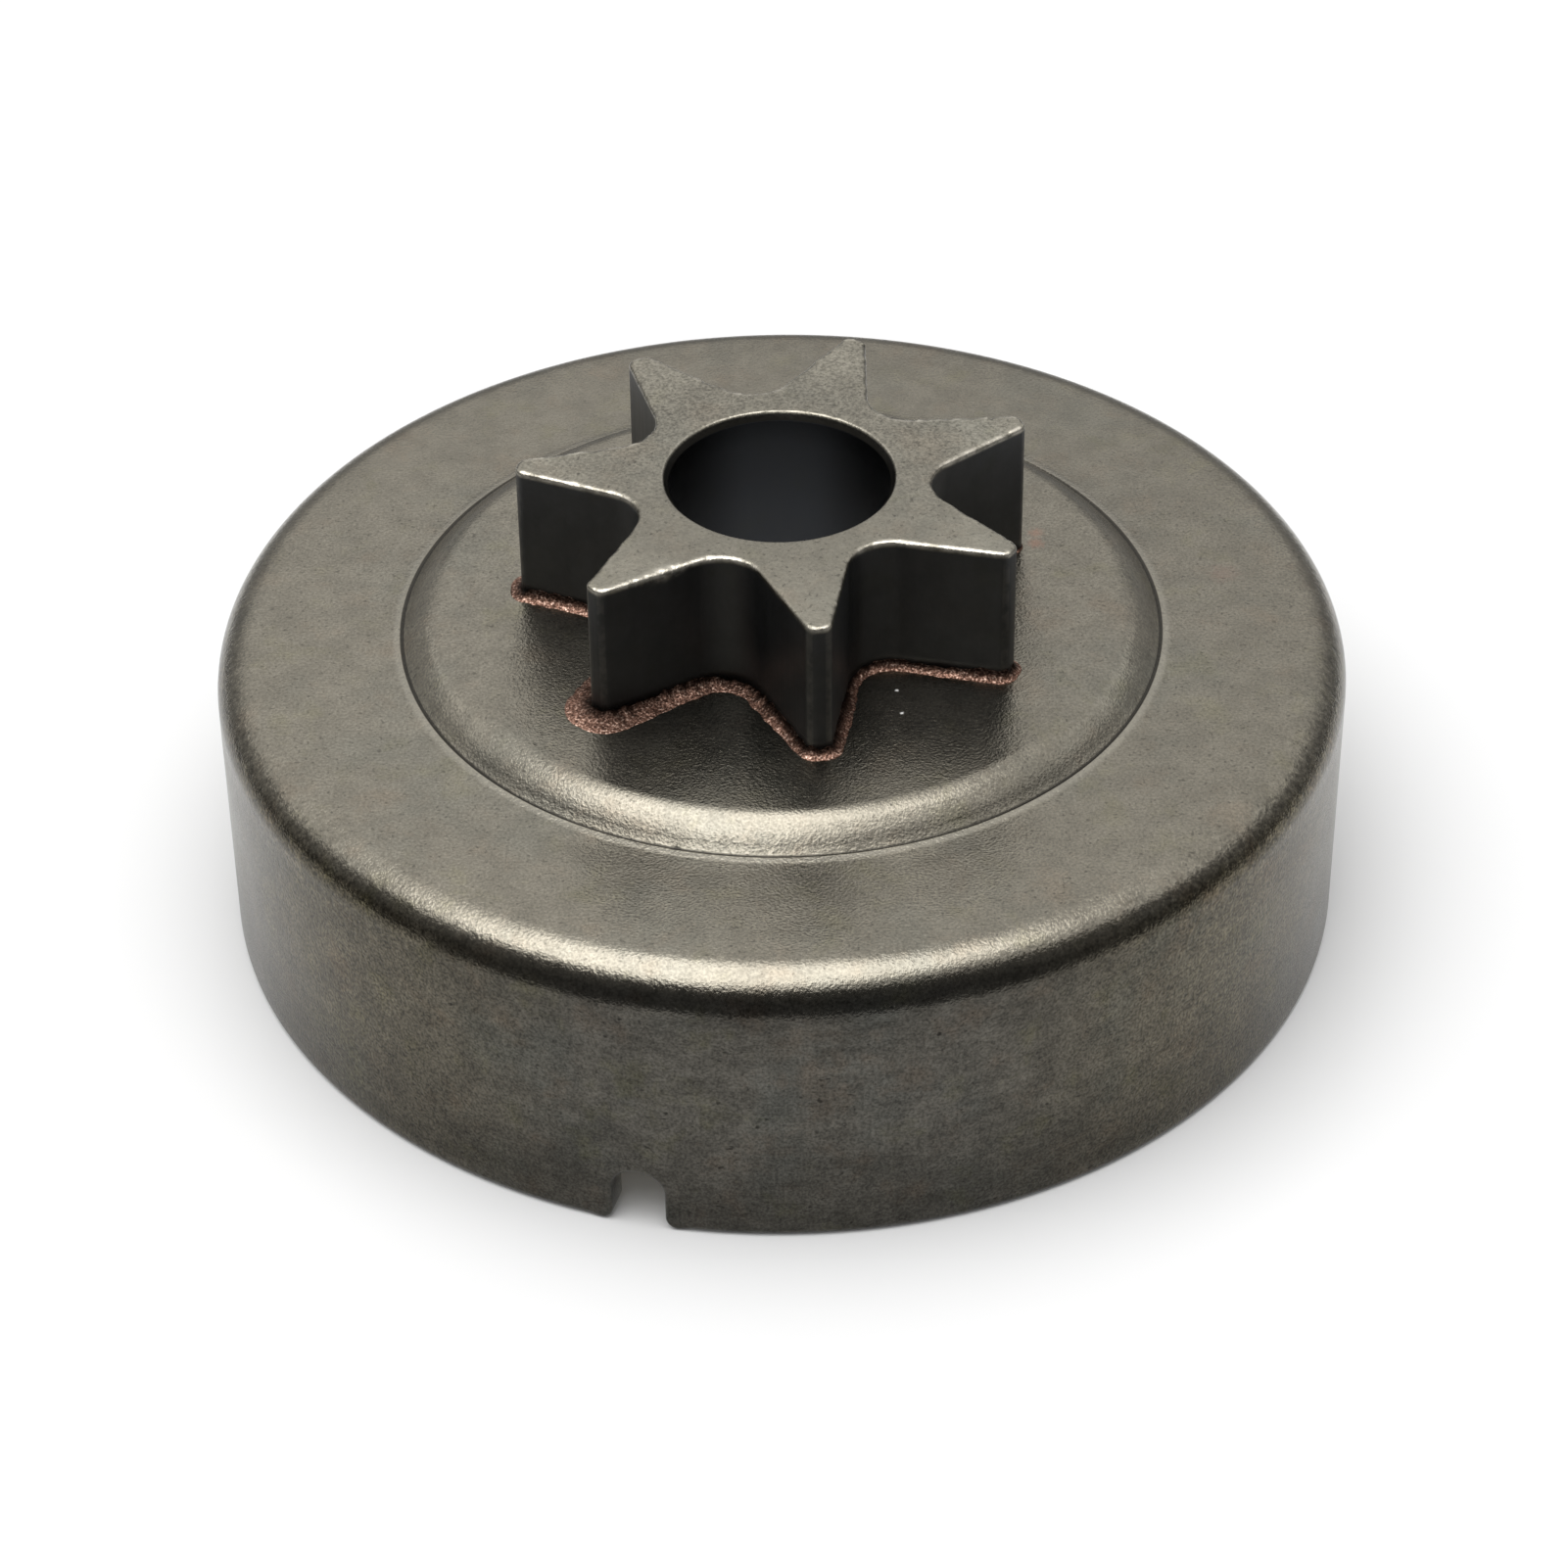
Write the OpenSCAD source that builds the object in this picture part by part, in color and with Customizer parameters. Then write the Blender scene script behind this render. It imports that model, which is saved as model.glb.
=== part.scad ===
// Chainsaw spur sprocket: a pressed clutch drum with a star sprocket brazed onto its boss.
// Millimetres. The drum stands on its rim at z = 0, and the bore runs along +Z.

/* [Drum] */
// Outside diameter of the drum
drum_d = 78; // [72:0.5:96]
// Height of the flat flange above the rim
drum_h = 21.4; // [14:0.1:34]
// Thickness of the pressed sheet
sheet_t = 2.2; // [1.6:0.1:2.8]
// Outside radius of the drawn shoulder between wall and flange
shoulder_r = 2.9; // [2.9:0.1:6]
// Radius on both edges of the rim
rim_edge_r = 0.6; // [0.2:0.1:0.7]

/* [Boss] */
// Diameter of the boss at the crease where it leaves the flange
boss_d = 52.2; // [50:0.1:60]
// Rise of the boss above the flange
boss_rise = 1.85; // [1.2:0.05:2.1]
// Radius over the top edge of the boss
boss_edge_r = 3.5; // [2.4:0.1:4.5]
// Slope of the side of the boss, in degrees from the flange
boss_slope = 42; // [35:1:60]

/* [Rim notch] */
// Width of the notch that drives the oil pump
notch_w = 3.6; // [2:0.05:6]
// Height of the notch above the rim
notch_h = 4.7; // [3.5:0.1:9]
// Radius where the notch runs out into the rim
notch_corner_r = 1; // [0.3:0.1:1.6]
// Bearing of the notch around the axis, in degrees
notch_bearing = 255.5; // [0:0.1:359.9]

/* [Star] */
// Number of teeth
teeth = 7; // [7:1:8]
// Mean spacing of the chain's rivets
chain_pitch = 9.525; // [9.3:0.005:10.3]
// Reach of the chain's tie straps below the line of rivets
strap_drop = 2.96; // [2.6:0.01:3.4]
// Depth of a tooth gap from tip to root
tooth_depth = 7.6; // [6.6:0.05:7.8]
// Lean of each flank towards the middle of its tooth, in degrees
flank_lean = 17.7; // [15:0.1:19]
// Radius at the bottom of a tooth gap
root_fillet_r = 3; // [2.4:0.05:3.2]
// Radius on the corners of a tooth tip
tip_corner_r = 0.75; // [0.3:0.05:0.8]
// Height of the teeth above the boss
star_h = 10.25; // [6:0.05:16]
// Bearing of the first tooth around the axis, in degrees
star_bearing = 278; // [0:0.1:359.9]

/* [Hub] */
// Bore for the needle cage
bore_d = 15; // [11:0.1:16.5]
// Lead-in chamfer at both ends of the bore
bore_chamfer = 0.4; // [0.2:0.05:0.8]
// Outside diameter of the spigot that sits in the drum
spigot_d = 19; // [18.5:0.1:19.4]
// Length of the spigot that shows inside the drum
spigot_proud = 0.6; // [0.2:0.1:1.2]
// Radial gap round the spigot that the braze runs into
spigot_gap = 0.05; // [0.02:0.01:0.1]

/* [Braze] */
// Reach of the bead across the boss from the foot of the star
bead_w = 1.2; // [0.5:0.05:1.6]
// Height of the bead up the flanks of the star
bead_h = 0.6; // [0.4:0.05:1.4]
// Thickness left at the top of the bead
bead_lip = 0.15; // [0.05:0.05:0.3]

/* [Hidden] */
$fn = 96;

drum_r = drum_d / 2;
drum_inner_r = drum_r - sheet_t;
ceiling_z = drum_h - sheet_t;
boss_r = boss_d / 2;
boss_top = drum_h + boss_rise;
recess_z = boss_top - sheet_t;
spigot_r = spigot_d / 2;
seat_r = spigot_r + spigot_gap;
spigot_end = recess_z - spigot_proud;
bore_r = bore_d / 2;
star_top = boss_top + star_h;

// The rivets ride on a polygon with two sides for each tooth, and the straps lie on the tips
rivet_r = chain_pitch / 2 / sin(90 / teeth);
tip_r = rivet_r * cos(90 / teeth) - strap_drop;
root_r = tip_r - tooth_depth;
gap_centre_r = root_r + root_fillet_r;
gap_half_angle = 180 / teeth + flank_lean;

// Straight lines are tucked this far inside the arcs that they meet, so that the two cross
tuck = 0.01;
flank_distance = gap_centre_r * sin(gap_half_angle) - root_fillet_r + tuck;
// Cuts reach this far past the faces that they open
over = 1;
// Sides of the round tool that spreads the bead, and height of the sheet that it is spread from
bead_sides = 16;
bead_floor = 0.05;

// Half section of a cup with one rounded corner, from z_low up to height h
module cup_section(r, h, corner, z_low) {
    translate([0, z_low]) square([r, h - corner - z_low]);
    translate([0, z_low]) square([r - corner, h - z_low]);
    translate([r - corner, h - corner]) circle(corner);
}

// Half section of the boss: a flat top, an arc over its edge and a straight sloping side
module boss_section() {
    base = drum_h - sheet_t / 2;
    arc_z = boss_top - boss_edge_r;
    side = [sin(boss_slope), cos(boss_slope)];
    arc_r = boss_r - (boss_edge_r - tuck - (drum_h - arc_z) * side.y) / side.x;
    side_top = [arc_r, arc_z] + (boss_edge_r - tuck) * side;
    side_foot = boss_r + (drum_h - base) / tan(boss_slope);
    translate([0, base]) square([arc_r, boss_top - base]);
    polygon([[0, base], [side_foot, base], side_top, [0, side_top.y]]);
    intersection() {
        translate([arc_r, arc_z]) circle(boss_edge_r);
        translate([0, base]) square([boss_r, boss_top - base]);
    }
}

// Half section of the hollow behind the boss, with its side parallel to the side of the boss
module recess_section() {
    foot_z = ceiling_z - over;
    side_run = 1 / tan(boss_slope);
    mouth_r = boss_r - sheet_t * sin(boss_slope) + sheet_t * (1 - cos(boss_slope)) * side_run;
    polygon([
        [0, foot_z],
        [mouth_r + over * side_run, foot_z],
        [mouth_r - boss_rise * side_run, recess_z],
        [0, recess_z]
    ]);
}

// What lies outside the arc on one edge of the rim, on the outer (1) or inner (-1) side of the wall
module rim_edge(at_r, side) {
    translate([at_r - side * rim_edge_r, rim_edge_r])
        difference() {
            translate([side > 0 ? 0 : -rim_edge_r - over, -rim_edge_r - over])
                square([rim_edge_r + over, rim_edge_r + over]);
            circle(rim_edge_r);
        }
}

// Half section of the pressed sheet
module drum_section() {
    difference() {
        union() {
            cup_section(drum_r, drum_h, shoulder_r, 0);
            boss_section();
        }
        cup_section(drum_inner_r, ceiling_z, shoulder_r - sheet_t, -over);
        recess_section();
        translate([0, ceiling_z - over]) square([seat_r, boss_top - ceiling_z + 2 * over]);
        rim_edge(drum_r, 1);
        rim_edge(drum_inner_r, -1);
    }
}

// Outline of the notch: straight sides, a round top, and arcs that run out into the rim
module notch_outline() {
    half_w = notch_w / 2;
    translate([0, notch_h - half_w]) circle(half_w);
    translate([-half_w, -over]) square([notch_w, notch_h - half_w + over]);
    for (side = [-1, 1])
        difference() {
            translate([side > 0 ? 0 : -half_w - notch_corner_r, -over])
                square([half_w + notch_corner_r, notch_corner_r + over]);
            translate([side * (half_w + notch_corner_r), notch_corner_r]) circle(notch_corner_r);
        }
}

module rim_notch() {
    rotate(notch_bearing)
        translate([drum_inner_r - over, 0, 0])
            rotate([90, 0, 90])
                linear_extrude(sheet_t + 2 * over) notch_outline();
}

// One gap between two teeth, along +X: a round root and flanks that leave it as tangents
module tooth_gap() {
    flank = [cos(gap_half_angle), sin(gap_half_angle)];
    root_end = [gap_centre_r, 0] + (root_fillet_r - tuck) * [-flank.y, flank.x];
    flank_end = root_end + tip_r * flank;
    translate([gap_centre_r, 0]) circle(root_fillet_r);
    polygon([
        root_end,
        flank_end,
        [flank_end.x, -flank_end.y],
        [root_end.x, -root_end.y]
    ]);
}

// What lies outside the arc on one corner of the tooth along +X
module tip_corner() {
    centre_r = tip_r - tip_corner_r;
    bearing = asin((flank_distance - tip_corner_r) / centre_r) - flank_lean;
    reach = 3 * tip_corner_r;
    to_tip = reach * [cos(bearing), sin(bearing)];
    to_flank = reach * [sin(flank_lean), cos(flank_lean)];
    translate(centre_r / reach * to_tip)
        difference() {
            polygon([[0, 0], to_tip, to_tip + to_flank, to_flank]);
            circle(tip_corner_r + tuck);
        }
}

// Outline of the star with its first tooth along +X
module star_outline() {
    pitch_angle = 360 / teeth;
    difference() {
        circle(tip_r);
        for (k = [0:teeth - 1]) {
            rotate((k + 0.5) * pitch_angle) tooth_gap();
            rotate(k * pitch_angle) {
                tip_corner();
                mirror([0, 1]) tip_corner();
            }
        }
    }
}

// The star as a prism from z_low to z_high
module star_prism(z_low, z_high) {
    translate([0, 0, z_low])
        rotate(star_bearing)
            linear_extrude(z_high - z_low) star_outline();
}

// Bore along the axis with a lead-in at both ends
module hub_bore() {
    rotate_extrude()
        polygon([
            [0, spigot_end - over],
            [bore_r + bore_chamfer + over, spigot_end - over],
            [bore_r, spigot_end + bore_chamfer],
            [bore_r, star_top - bore_chamfer],
            [bore_r + bore_chamfer + over, star_top + over],
            [0, star_top + over]
        ]);
}

// Fillet between the inside of the drum and the end of the spigot, as high as the spigot stands proud
module inner_fillet() {
    leg = spigot_proud;
    rotate_extrude()
        difference() {
            translate([spigot_r, recess_z - leg]) square(leg);
            translate([spigot_r + leg, recess_z - leg]) circle(leg);
        }
}

// Bead round the foot of the star, spread outwards from the star's own outline
module outer_bead() {
    difference() {
        translate([0, 0, boss_top])
            rotate(star_bearing)
                minkowski() {
                    linear_extrude(bead_floor) star_outline($fn = 32);
                    cylinder(r1 = bead_w, r2 = bead_lip, h = bead_h - bead_floor, $fn = bead_sides);
                }
        star_prism(boss_top - over, star_top);
    }
}

module clutch_drum() {
    color([0.40, 0.38, 0.34])
        difference() {
            rotate_extrude() drum_section();
            rim_notch();
        }
}

module spur_sprocket() {
    color([0.47, 0.45, 0.41])
        difference() {
            union() {
                star_prism(boss_top, star_top);
                translate([0, 0, spigot_end]) cylinder(r = spigot_r, h = boss_top - spigot_end + over);
            }
            hub_bore();
        }
}

module braze_fillet() {
    color([0.52, 0.33, 0.25]) {
        outer_bead();
        inner_fillet();
    }
}

clutch_drum();
spur_sprocket();
braze_fillet();
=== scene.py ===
"""Looks of a chainsaw spur sprocket: a pressed clutch drum, a star sprocket and the copper between them."""
import math

import bpy
import numpy as np
from bpy.props import FloatProperty, FloatVectorProperty, IntProperty, PointerProperty
from mathutils import Matrix, Vector


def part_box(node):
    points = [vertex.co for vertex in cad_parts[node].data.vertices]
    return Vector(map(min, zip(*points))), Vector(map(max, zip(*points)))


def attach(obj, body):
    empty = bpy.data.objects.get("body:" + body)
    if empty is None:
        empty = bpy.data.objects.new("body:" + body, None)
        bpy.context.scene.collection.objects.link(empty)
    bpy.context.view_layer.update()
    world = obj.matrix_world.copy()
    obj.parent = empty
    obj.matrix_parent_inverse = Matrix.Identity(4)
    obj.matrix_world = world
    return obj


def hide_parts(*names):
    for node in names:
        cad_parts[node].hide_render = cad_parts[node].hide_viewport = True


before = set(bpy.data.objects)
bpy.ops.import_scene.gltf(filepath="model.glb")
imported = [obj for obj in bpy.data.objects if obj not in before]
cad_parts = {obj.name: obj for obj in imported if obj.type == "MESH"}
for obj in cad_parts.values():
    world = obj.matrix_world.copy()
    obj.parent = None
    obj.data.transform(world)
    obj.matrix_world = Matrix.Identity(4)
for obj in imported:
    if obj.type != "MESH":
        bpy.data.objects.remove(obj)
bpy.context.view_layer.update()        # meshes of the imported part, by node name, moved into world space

bl_info = {
    "name": "Chainsaw Spur Sprocket",
    "version": (1, 0, 0),
    "blender": (4, 5, 0),
    "location": "View3D > Sidebar > Sprocket",
    "description": "Builds the clutch drum, the star and the braze of a chainsaw spur sprocket",
    "category": "Add Mesh",
}

MM = 0.001
BODY = "root"
DRUM_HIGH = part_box("clutch_drum")[1]
STAR_LOW, STAR_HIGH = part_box("spur_sprocket")


def length(name, description, default):
    """A length in metres that a user may change."""
    return FloatProperty(name=name, description=description, default=default,
                         min=0, precision=5, unit="LENGTH")


def turn(name, description, degrees):
    """An angle that a user may change."""
    return FloatProperty(name=name, description=description, default=math.radians(degrees), subtype="ANGLE")


def colour(name, description, default):
    """A colour that a user may change."""
    return FloatVectorProperty(name=name, description=description, default=default,
                               min=0, max=1, subtype="COLOR")


def level(name, description, default):
    """A plain number that a user may change."""
    return FloatProperty(name=name, description=description, default=default, min=0)


class DrumSizes(bpy.types.PropertyGroup):
    """Sizes of the pressed drum."""

    radius: length("Radius", "Outside radius of the wall", DRUM_HIGH.x)
    boss_top: length("Boss top", "Height of the boss above the rim", DRUM_HIGH.z)
    flange: length("Flange", "Height of the flange above the rim", 21.4 * MM)
    sheet: length("Sheet", "Thickness of the sheet", 2.2 * MM)
    shoulder: length("Shoulder", "Outside radius between wall and flange", 2.9 * MM)
    rim_edge: length("Rim edge", "Radius on both edges of the rim", 0.6 * MM)
    boss_radius: length("Boss radius", "Radius of the crease round the boss", 26.12 * MM)
    boss_edge: length("Boss edge", "Radius over the edge of the boss", 2.2 * MM)
    boss_lean: turn("Boss lean", "Slope of the side of the boss below its edge", 37)
    boss_slope: turn("Boss slope", "Slope of the side of the boss at its foot", 46)
    crease: length("Crease", "Radius in the crease round the boss", 0.08 * MM)
    lip: length("Lip", "Rise of the flange to the lip outside the crease", 0.12 * MM)
    flange_drop: length("Flange drop", "Fall of the flange towards the shoulder", 0.1 * MM)
    press_edge: length("Press edge", "Radius on the edges of the hollow behind the boss", 0.8 * MM)
    seat_radius: length("Seat", "Radius of the seat of the hub", 9.55 * MM)
    notch_width: length("Notch width", "Width of the notch in the rim", 3.6 * MM)
    notch_height: length("Notch height", "Height of the notch above the rim", 4.7 * MM)
    notch_corner: length("Notch corner", "Radius where the notch runs out into the rim", 1.0 * MM)
    notch_edge: length("Notch edge", "Radius on the edges of the notch", 0.2 * MM)
    notch_bearing: turn("Notch bearing", "Bearing of the notch round the axis", 255.5)


class StarSizes(bpy.types.PropertyGroup):
    """Sizes of the star and its hub."""

    top: length("Top", "Height of the top of the star above the rim", STAR_HIGH.z)
    end: length("End", "Height of the lower end of the hub above the rim", STAR_LOW.z)
    teeth: IntProperty(name="Teeth", description="Number of teeth", default=7, min=3)
    bearing: turn("Bearing", "Bearing of the first tooth round the axis", 278)
    tip_radius: length("Tip", "Radius over the tips of the teeth", 17.906 * MM)
    root_radius: length("Root", "Radius at the bottom of the gaps", 10.306 * MM)
    root_fillet: length("Root fillet", "Radius of the round bottom of a gap", 3.0 * MM)
    flank_lean: turn("Flank lean", "Lean of a flank towards the middle of its tooth", 17.7)
    tip_corner: length("Tip corner", "Radius on the corners of a tip", 0.75 * MM)
    worn_edge: length("Worn edge", "Mean radius of the worn edge round the top", 0.3 * MM)
    burr_radius: length("Burr", "Distance of the burr on an upper edge from the axis", 13.6 * MM)
    burr_bearing: turn("Burr bearing", "Bearing of the burr", 235.5)
    bore_radius: length("Bore", "Radius of the bore", 7.5 * MM)
    bore_chamfer: length("Bore chamfer", "Width of the lead-in at both ends of the bore", 0.4 * MM)
    bore_lead: length("Bore lead", "Depth of the lead-in at both ends of the bore", 0.6 * MM)
    spigot_radius: length("Spigot", "Radius of the spigot in the drum", 9.5 * MM)


class BrazeSizes(bpy.types.PropertyGroup):
    """Sizes of the braze."""

    reach: length("Reach", "Mean reach of the bead across the boss", 0.85 * MM)
    climb: length("Climb", "Mean height of the bead on the flanks", 0.5 * MM)
    grain: length("Grain", "Height of the grains of copper", 0.022 * MM)
    run_reach: length("Run", "Extra reach where the copper ran out in front of one tooth", 1.1 * MM)
    run_bearing: turn("Run bearing", "Bearing of the tooth where the copper ran out", 226.6)
    thin_bearing: turn("Thin bearing", "Bearing of the tooth with the least copper", 20.9)
    lean_bearing: turn("Lean bearing", "Bearing of a tooth with less copper", 329.4)
    ring_leg: length("Ring", "Leg of the fillet inside the drum", 0.6 * MM)


class Finishes(bpy.types.PropertyGroup):
    """Colours of the steel and the copper."""

    drum: colour("Drum", "Flange of the drum", (0.234, 0.215, 0.175))
    # Painted shade: the wall's colour is darker than the flange's, for the darker reflection that the wall
    # gets
    wall: colour("Wall", "Wall of the drum", (0.082, 0.077, 0.066))
    # Painted light: the wall is lighter at its left and right, where it catches brighter reflection; it is
    # warmer there too
    wall_side: colour("Wall side", "Wall of the drum at its left and right", (0.098, 0.085, 0.058))
    friction: colour("Friction", "Inner wall, rubbed by the clutch shoes", (0.450, 0.432, 0.390))
    star: colour("Star", "Ends of the teeth", (0.230, 0.214, 0.175))
    worn: colour("Worn", "Worn edges of the teeth", (0.760, 0.710, 0.610))
    flank: colour("Flank", "Flanks of the teeth", (0.073, 0.075, 0.078))
    # Painted shade: the bore's colour is made dark for the shade inside the hole
    bore: colour("Bore", "Inside of the bore", (0.046, 0.048, 0.052))
    # Painted highlight: a lighter line on the lip outside the crease
    lip_highlight: colour("Rubbed", "Rubbed flange beside the crease", (0.420, 0.395, 0.335))
    # Dirt colour, also used for the painted shade in the crease and in the lead-in of the bore
    dirt_and_shade: colour("Dirt", "Dirt in the crease", (0.030, 0.028, 0.024))
    rust: colour("Rust", "Stain on the flange", (0.260, 0.170, 0.140))
    dust: colour("Dust", "Specks of dust on the boss", (0.800, 0.800, 0.780))
    copper: colour("Copper", "Braze", (0.360, 0.200, 0.145))
    copper_grain: colour("Copper grain", "Bright grains of the braze", (0.780, 0.560, 0.450))
    floor: colour("Floor", "Floor of the stage", (0.85, 0.85, 0.85))


class StageSettings(bpy.types.PropertyGroup):
    """Camera and light."""

    lens: level("Lens", "Focal length in millimetres on a 36 mm sensor", 104.28)
    distance: length("Distance", "Distance of the camera from the point that it looks at", 326.9 * MM)
    elevation: turn("Elevation", "Height of the camera above the horizon", 37.853)
    roll: turn("Roll", "Turn of the camera about its own line of sight", 0.666)
    aim_rise: length("Aim", "Height of the point looked at, up the picture from the origin", 5.598 * MM)
    world: level("World", "Strength of the white surroundings as light", 0.6)
    softbox: level("Softbox", "Brightness of the overhead softbox, where 1 is white", 2.8)
    screen_radius: length("Screen", "Radius of the dark screen that only shine can see", 500 * MM)
    screen_mouth: length("Screen mouth", "Distance of the foot of the screen in front of the axis", 72 * MM)
    screen_front: length("Screen front", "Height of the screen in front of the drum", 470 * MM)
    screen_back: length("Screen back", "Height of the screen behind the drum", 235 * MM)


def settings(context):
    """The five groups of values that the operators read."""
    return context.scene.sprocket


class SprocketSettings(bpy.types.PropertyGroup):
    """All the values of the sprocket."""

    drum: PointerProperty(type=DrumSizes)
    star: PointerProperty(type=StarSizes)
    braze: PointerProperty(type=BrazeSizes)
    finish: PointerProperty(type=Finishes)
    stage: PointerProperty(type=StageSettings)


# Curves and surfaces

def smooth_step(value, low, high):
    """0 below low, 1 above high, and a cubic between them that leaves and arrives level."""
    t = np.clip((value - low) / (high - low), 0, 1)
    return t * t * (3 - 2 * t)


def wander(loop, waves, seed):
    """Smooth noise round a closed loop, about -1 to 1: a sum of cosines with whole numbers of waves,
    whose phases and weights come from a fixed seed."""
    draw = np.random.default_rng(seed)
    count = np.arange(*waves)[:, None]
    phase = draw.uniform(0, 2 * np.pi, count.shape)
    weight = draw.normal(size=count.shape) / np.sqrt(count.size)
    return (weight * np.cos(count * loop + phase)).sum(0)


def arc(centre, radius, start, stop, count, side=1):
    """Rows of x, y and normal on a circle from one bearing to another; side -1 turns the normals inwards."""
    bearing = np.linspace(start, stop, count)
    way = np.stack([np.cos(bearing), np.sin(bearing)], 1)
    return np.hstack([np.asarray(centre) + radius * way, side * way])


def straight(start, stop, normal, count, growth=1.0):
    """Rows of x, y and normal on a line; growth above 1 crowds the points near its start."""
    t = np.linspace(0, 1, count)[:, None] ** growth
    start, stop = np.asarray(start), np.asarray(stop)
    return np.hstack([start + t * (stop - start), np.tile(normal, (count, 1))])


def rounded_section(corners, spacing):
    """Rows of r and z along straight lines whose corners are rounded. A corner is (r, z, radius, steps):
    its arc touches both lines at radius over the tangent of half their angle. Points crowd towards the
    ends of each line by a cosine, so that shading turns only in the arcs."""
    points = np.array([corner[:2] for corner in corners])
    pieces, start = [], points[0]
    for before, here, after, corner in zip(points, points[1:], points[2:], corners[1:]):
        back = (before - here) / np.linalg.norm(before - here)
        ahead = (after - here) / np.linalg.norm(after - here)
        half = math.acos(np.clip(back @ ahead, -1, 1)) / 2
        reach = corner[2] / math.tan(half)
        middle = here + (back + ahead) / np.linalg.norm(back + ahead) * corner[2] / math.sin(half)
        first = here + back * reach - middle
        last = here + ahead * reach - middle
        sweep = np.linspace(0, math.pi - 2 * half, corner[3] + 1)
        sweep *= np.sign(first[0] * last[1] - first[1] * last[0])
        bend = np.stack([first[0] * np.cos(sweep) - first[1] * np.sin(sweep),
                         first[0] * np.sin(sweep) + first[1] * np.cos(sweep)], 1) + middle
        pieces += [crowded_line(start, bend[0], spacing)[:-1], bend[:-1]]
        start = bend[-1]
    return np.vstack(pieces + [crowded_line(start, points[-1], spacing)])


def crowded_line(start, stop, spacing):
    """Points on a line, closer together towards both ends by a cosine."""
    count = max(2, math.ceil(np.linalg.norm(stop - start) / spacing) + 1)
    t = 0.5 - 0.5 * np.cos(np.linspace(0, np.pi, count))[:, None]
    return start + t * (stop - start)


def revolved(r, z, bearing):
    """Points at radius r, height z and bearing, which are arrays that spread to one grid."""
    r, z, bearing = np.broadcast_arrays(r, z, bearing)
    return np.stack([r * np.cos(bearing), r * np.sin(bearing), z], -1)


def closed_faces(grid):
    """Faces of a grid that closes on itself both ways, turned so that the volume inside is positive."""
    index = np.arange(grid.shape[0] * grid.shape[1]).reshape(grid.shape[:2])
    beside = np.roll(index, -1, 1)
    faces = np.stack([index, beside, np.roll(beside, -1, 0), np.roll(index, -1, 0)], -1).reshape(-1, 4)
    a, b, c, d = (grid.reshape(-1, 3)[faces[:, k]] for k in range(4))
    volume = (a * (np.cross(b, c) + np.cross(c, d))).sum()
    return faces if volume > 0 else faces[:, ::-1]


def make_piece(name, grids, masks, material, node):
    """Puts closed grids into one smooth mesh, with a value for each point under each mask's name, and
    lets it stand for a solid of the frame."""
    points = np.vstack([grid.reshape(-1, 3) for grid in grids])
    starts = np.cumsum([0] + [grid.shape[0] * grid.shape[1] for grid in grids])
    faces = np.vstack([closed_faces(grid) + start for grid, start in zip(grids, starts)])
    mesh = bpy.data.meshes.new(name)
    mesh.from_pydata(points, [], faces)
    mesh.polygons.foreach_set("use_smooth", np.ones(len(faces), bool))
    for mask, value in masks.items():
        layer = mesh.attributes.new(mask, "FLOAT", "POINT")
        layer.data.foreach_set("value", np.asarray(value, np.float32).ravel())
    mesh.update()
    mesh.materials.append(material)
    piece = bpy.data.objects.new(name, mesh)
    bpy.context.scene.collection.objects.link(piece)
    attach(piece, BODY)
    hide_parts(node)
    return piece


# Drum

# Points on the arc over half the notch, on its straight side, on the arc into the rim, and on half the rim
NOTCH_ARC_POINTS, NOTCH_SIDE_POINTS, RUN_OUT_POINTS, RIM_POINTS = 15, 8, 14, 238
RIM_GROWTH = 1.3  # crowds the points of the rim towards the notch
EVEN_AGAIN = 8  # lengths of the notch over which the points of the level ring become even

# Outside of the section: how far outside the crease the lip has its top, its foot and its end
LIP_TOP, LIP_FOOT, LIP_END = 0.18 * MM, 0.75 * MM, 1.7 * MM
CREASE_SHARE, FOOT_SHARE = 0.2, 0.25  # heights of the crease and of the foot as shares of the lip
BEND_RADIUS, LIP_FOOT_RADIUS, LIP_END_RADIUS, FALL_RADIUS = 7 * MM, 2 * MM, 12 * MM, 60 * MM
FALL_START = 1.6  # radii of the shoulder from the wall to where the flange starts to fall
OUTSIDE_SPACING, INSIDE_SPACING = 0.7 * MM, 1.6 * MM
RIM_EDGE_POINTS, RIM_MIDDLE_POINTS, WALL_ROWS = 6, 2, 10
INSIDE_SHARES = (0.3, 0.9)  # shares of the sheet between which the rim counts more and more as inside


def rim_path(drum):
    """Rows of distance round the rim, height and normal, along the rim and round its notch. Half of it is
    an arc over the notch, its straight side, an arc that runs out into the rim, and the rim itself; the
    other half is its mirror image. Returned with the length along the path and the length of the notch."""
    half, corner = drum.notch_width / 2, drum.notch_corner
    far = math.pi * drum.radius
    notch = np.vstack([
        arc((0, drum.notch_height - half), half, math.pi / 2, 0, NOTCH_ARC_POINTS)[:-1],
        straight((half, drum.notch_height - half), (half, corner), (1, 0), NOTCH_SIDE_POINTS)[:-1],
        arc((half + corner, corner), corner, math.pi, 1.5 * math.pi, RUN_OUT_POINTS, side=-1),
    ])
    rim = straight((half + corner, 0), (far, 0), (0, 1), RIM_POINTS, growth=RIM_GROWTH)[1:]
    right = np.vstack([notch, rim])
    step = np.hypot(*np.diff(right[:, :2], axis=0).T)
    along = np.concatenate([[0], np.cumsum(step)])
    left = right[:0:-1] * [-1, 1, -1, 1]
    path = np.vstack([left[1:], right])
    return path, np.concatenate([-along[:0:-1][1:], along]), along[len(notch) - 1]


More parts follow.
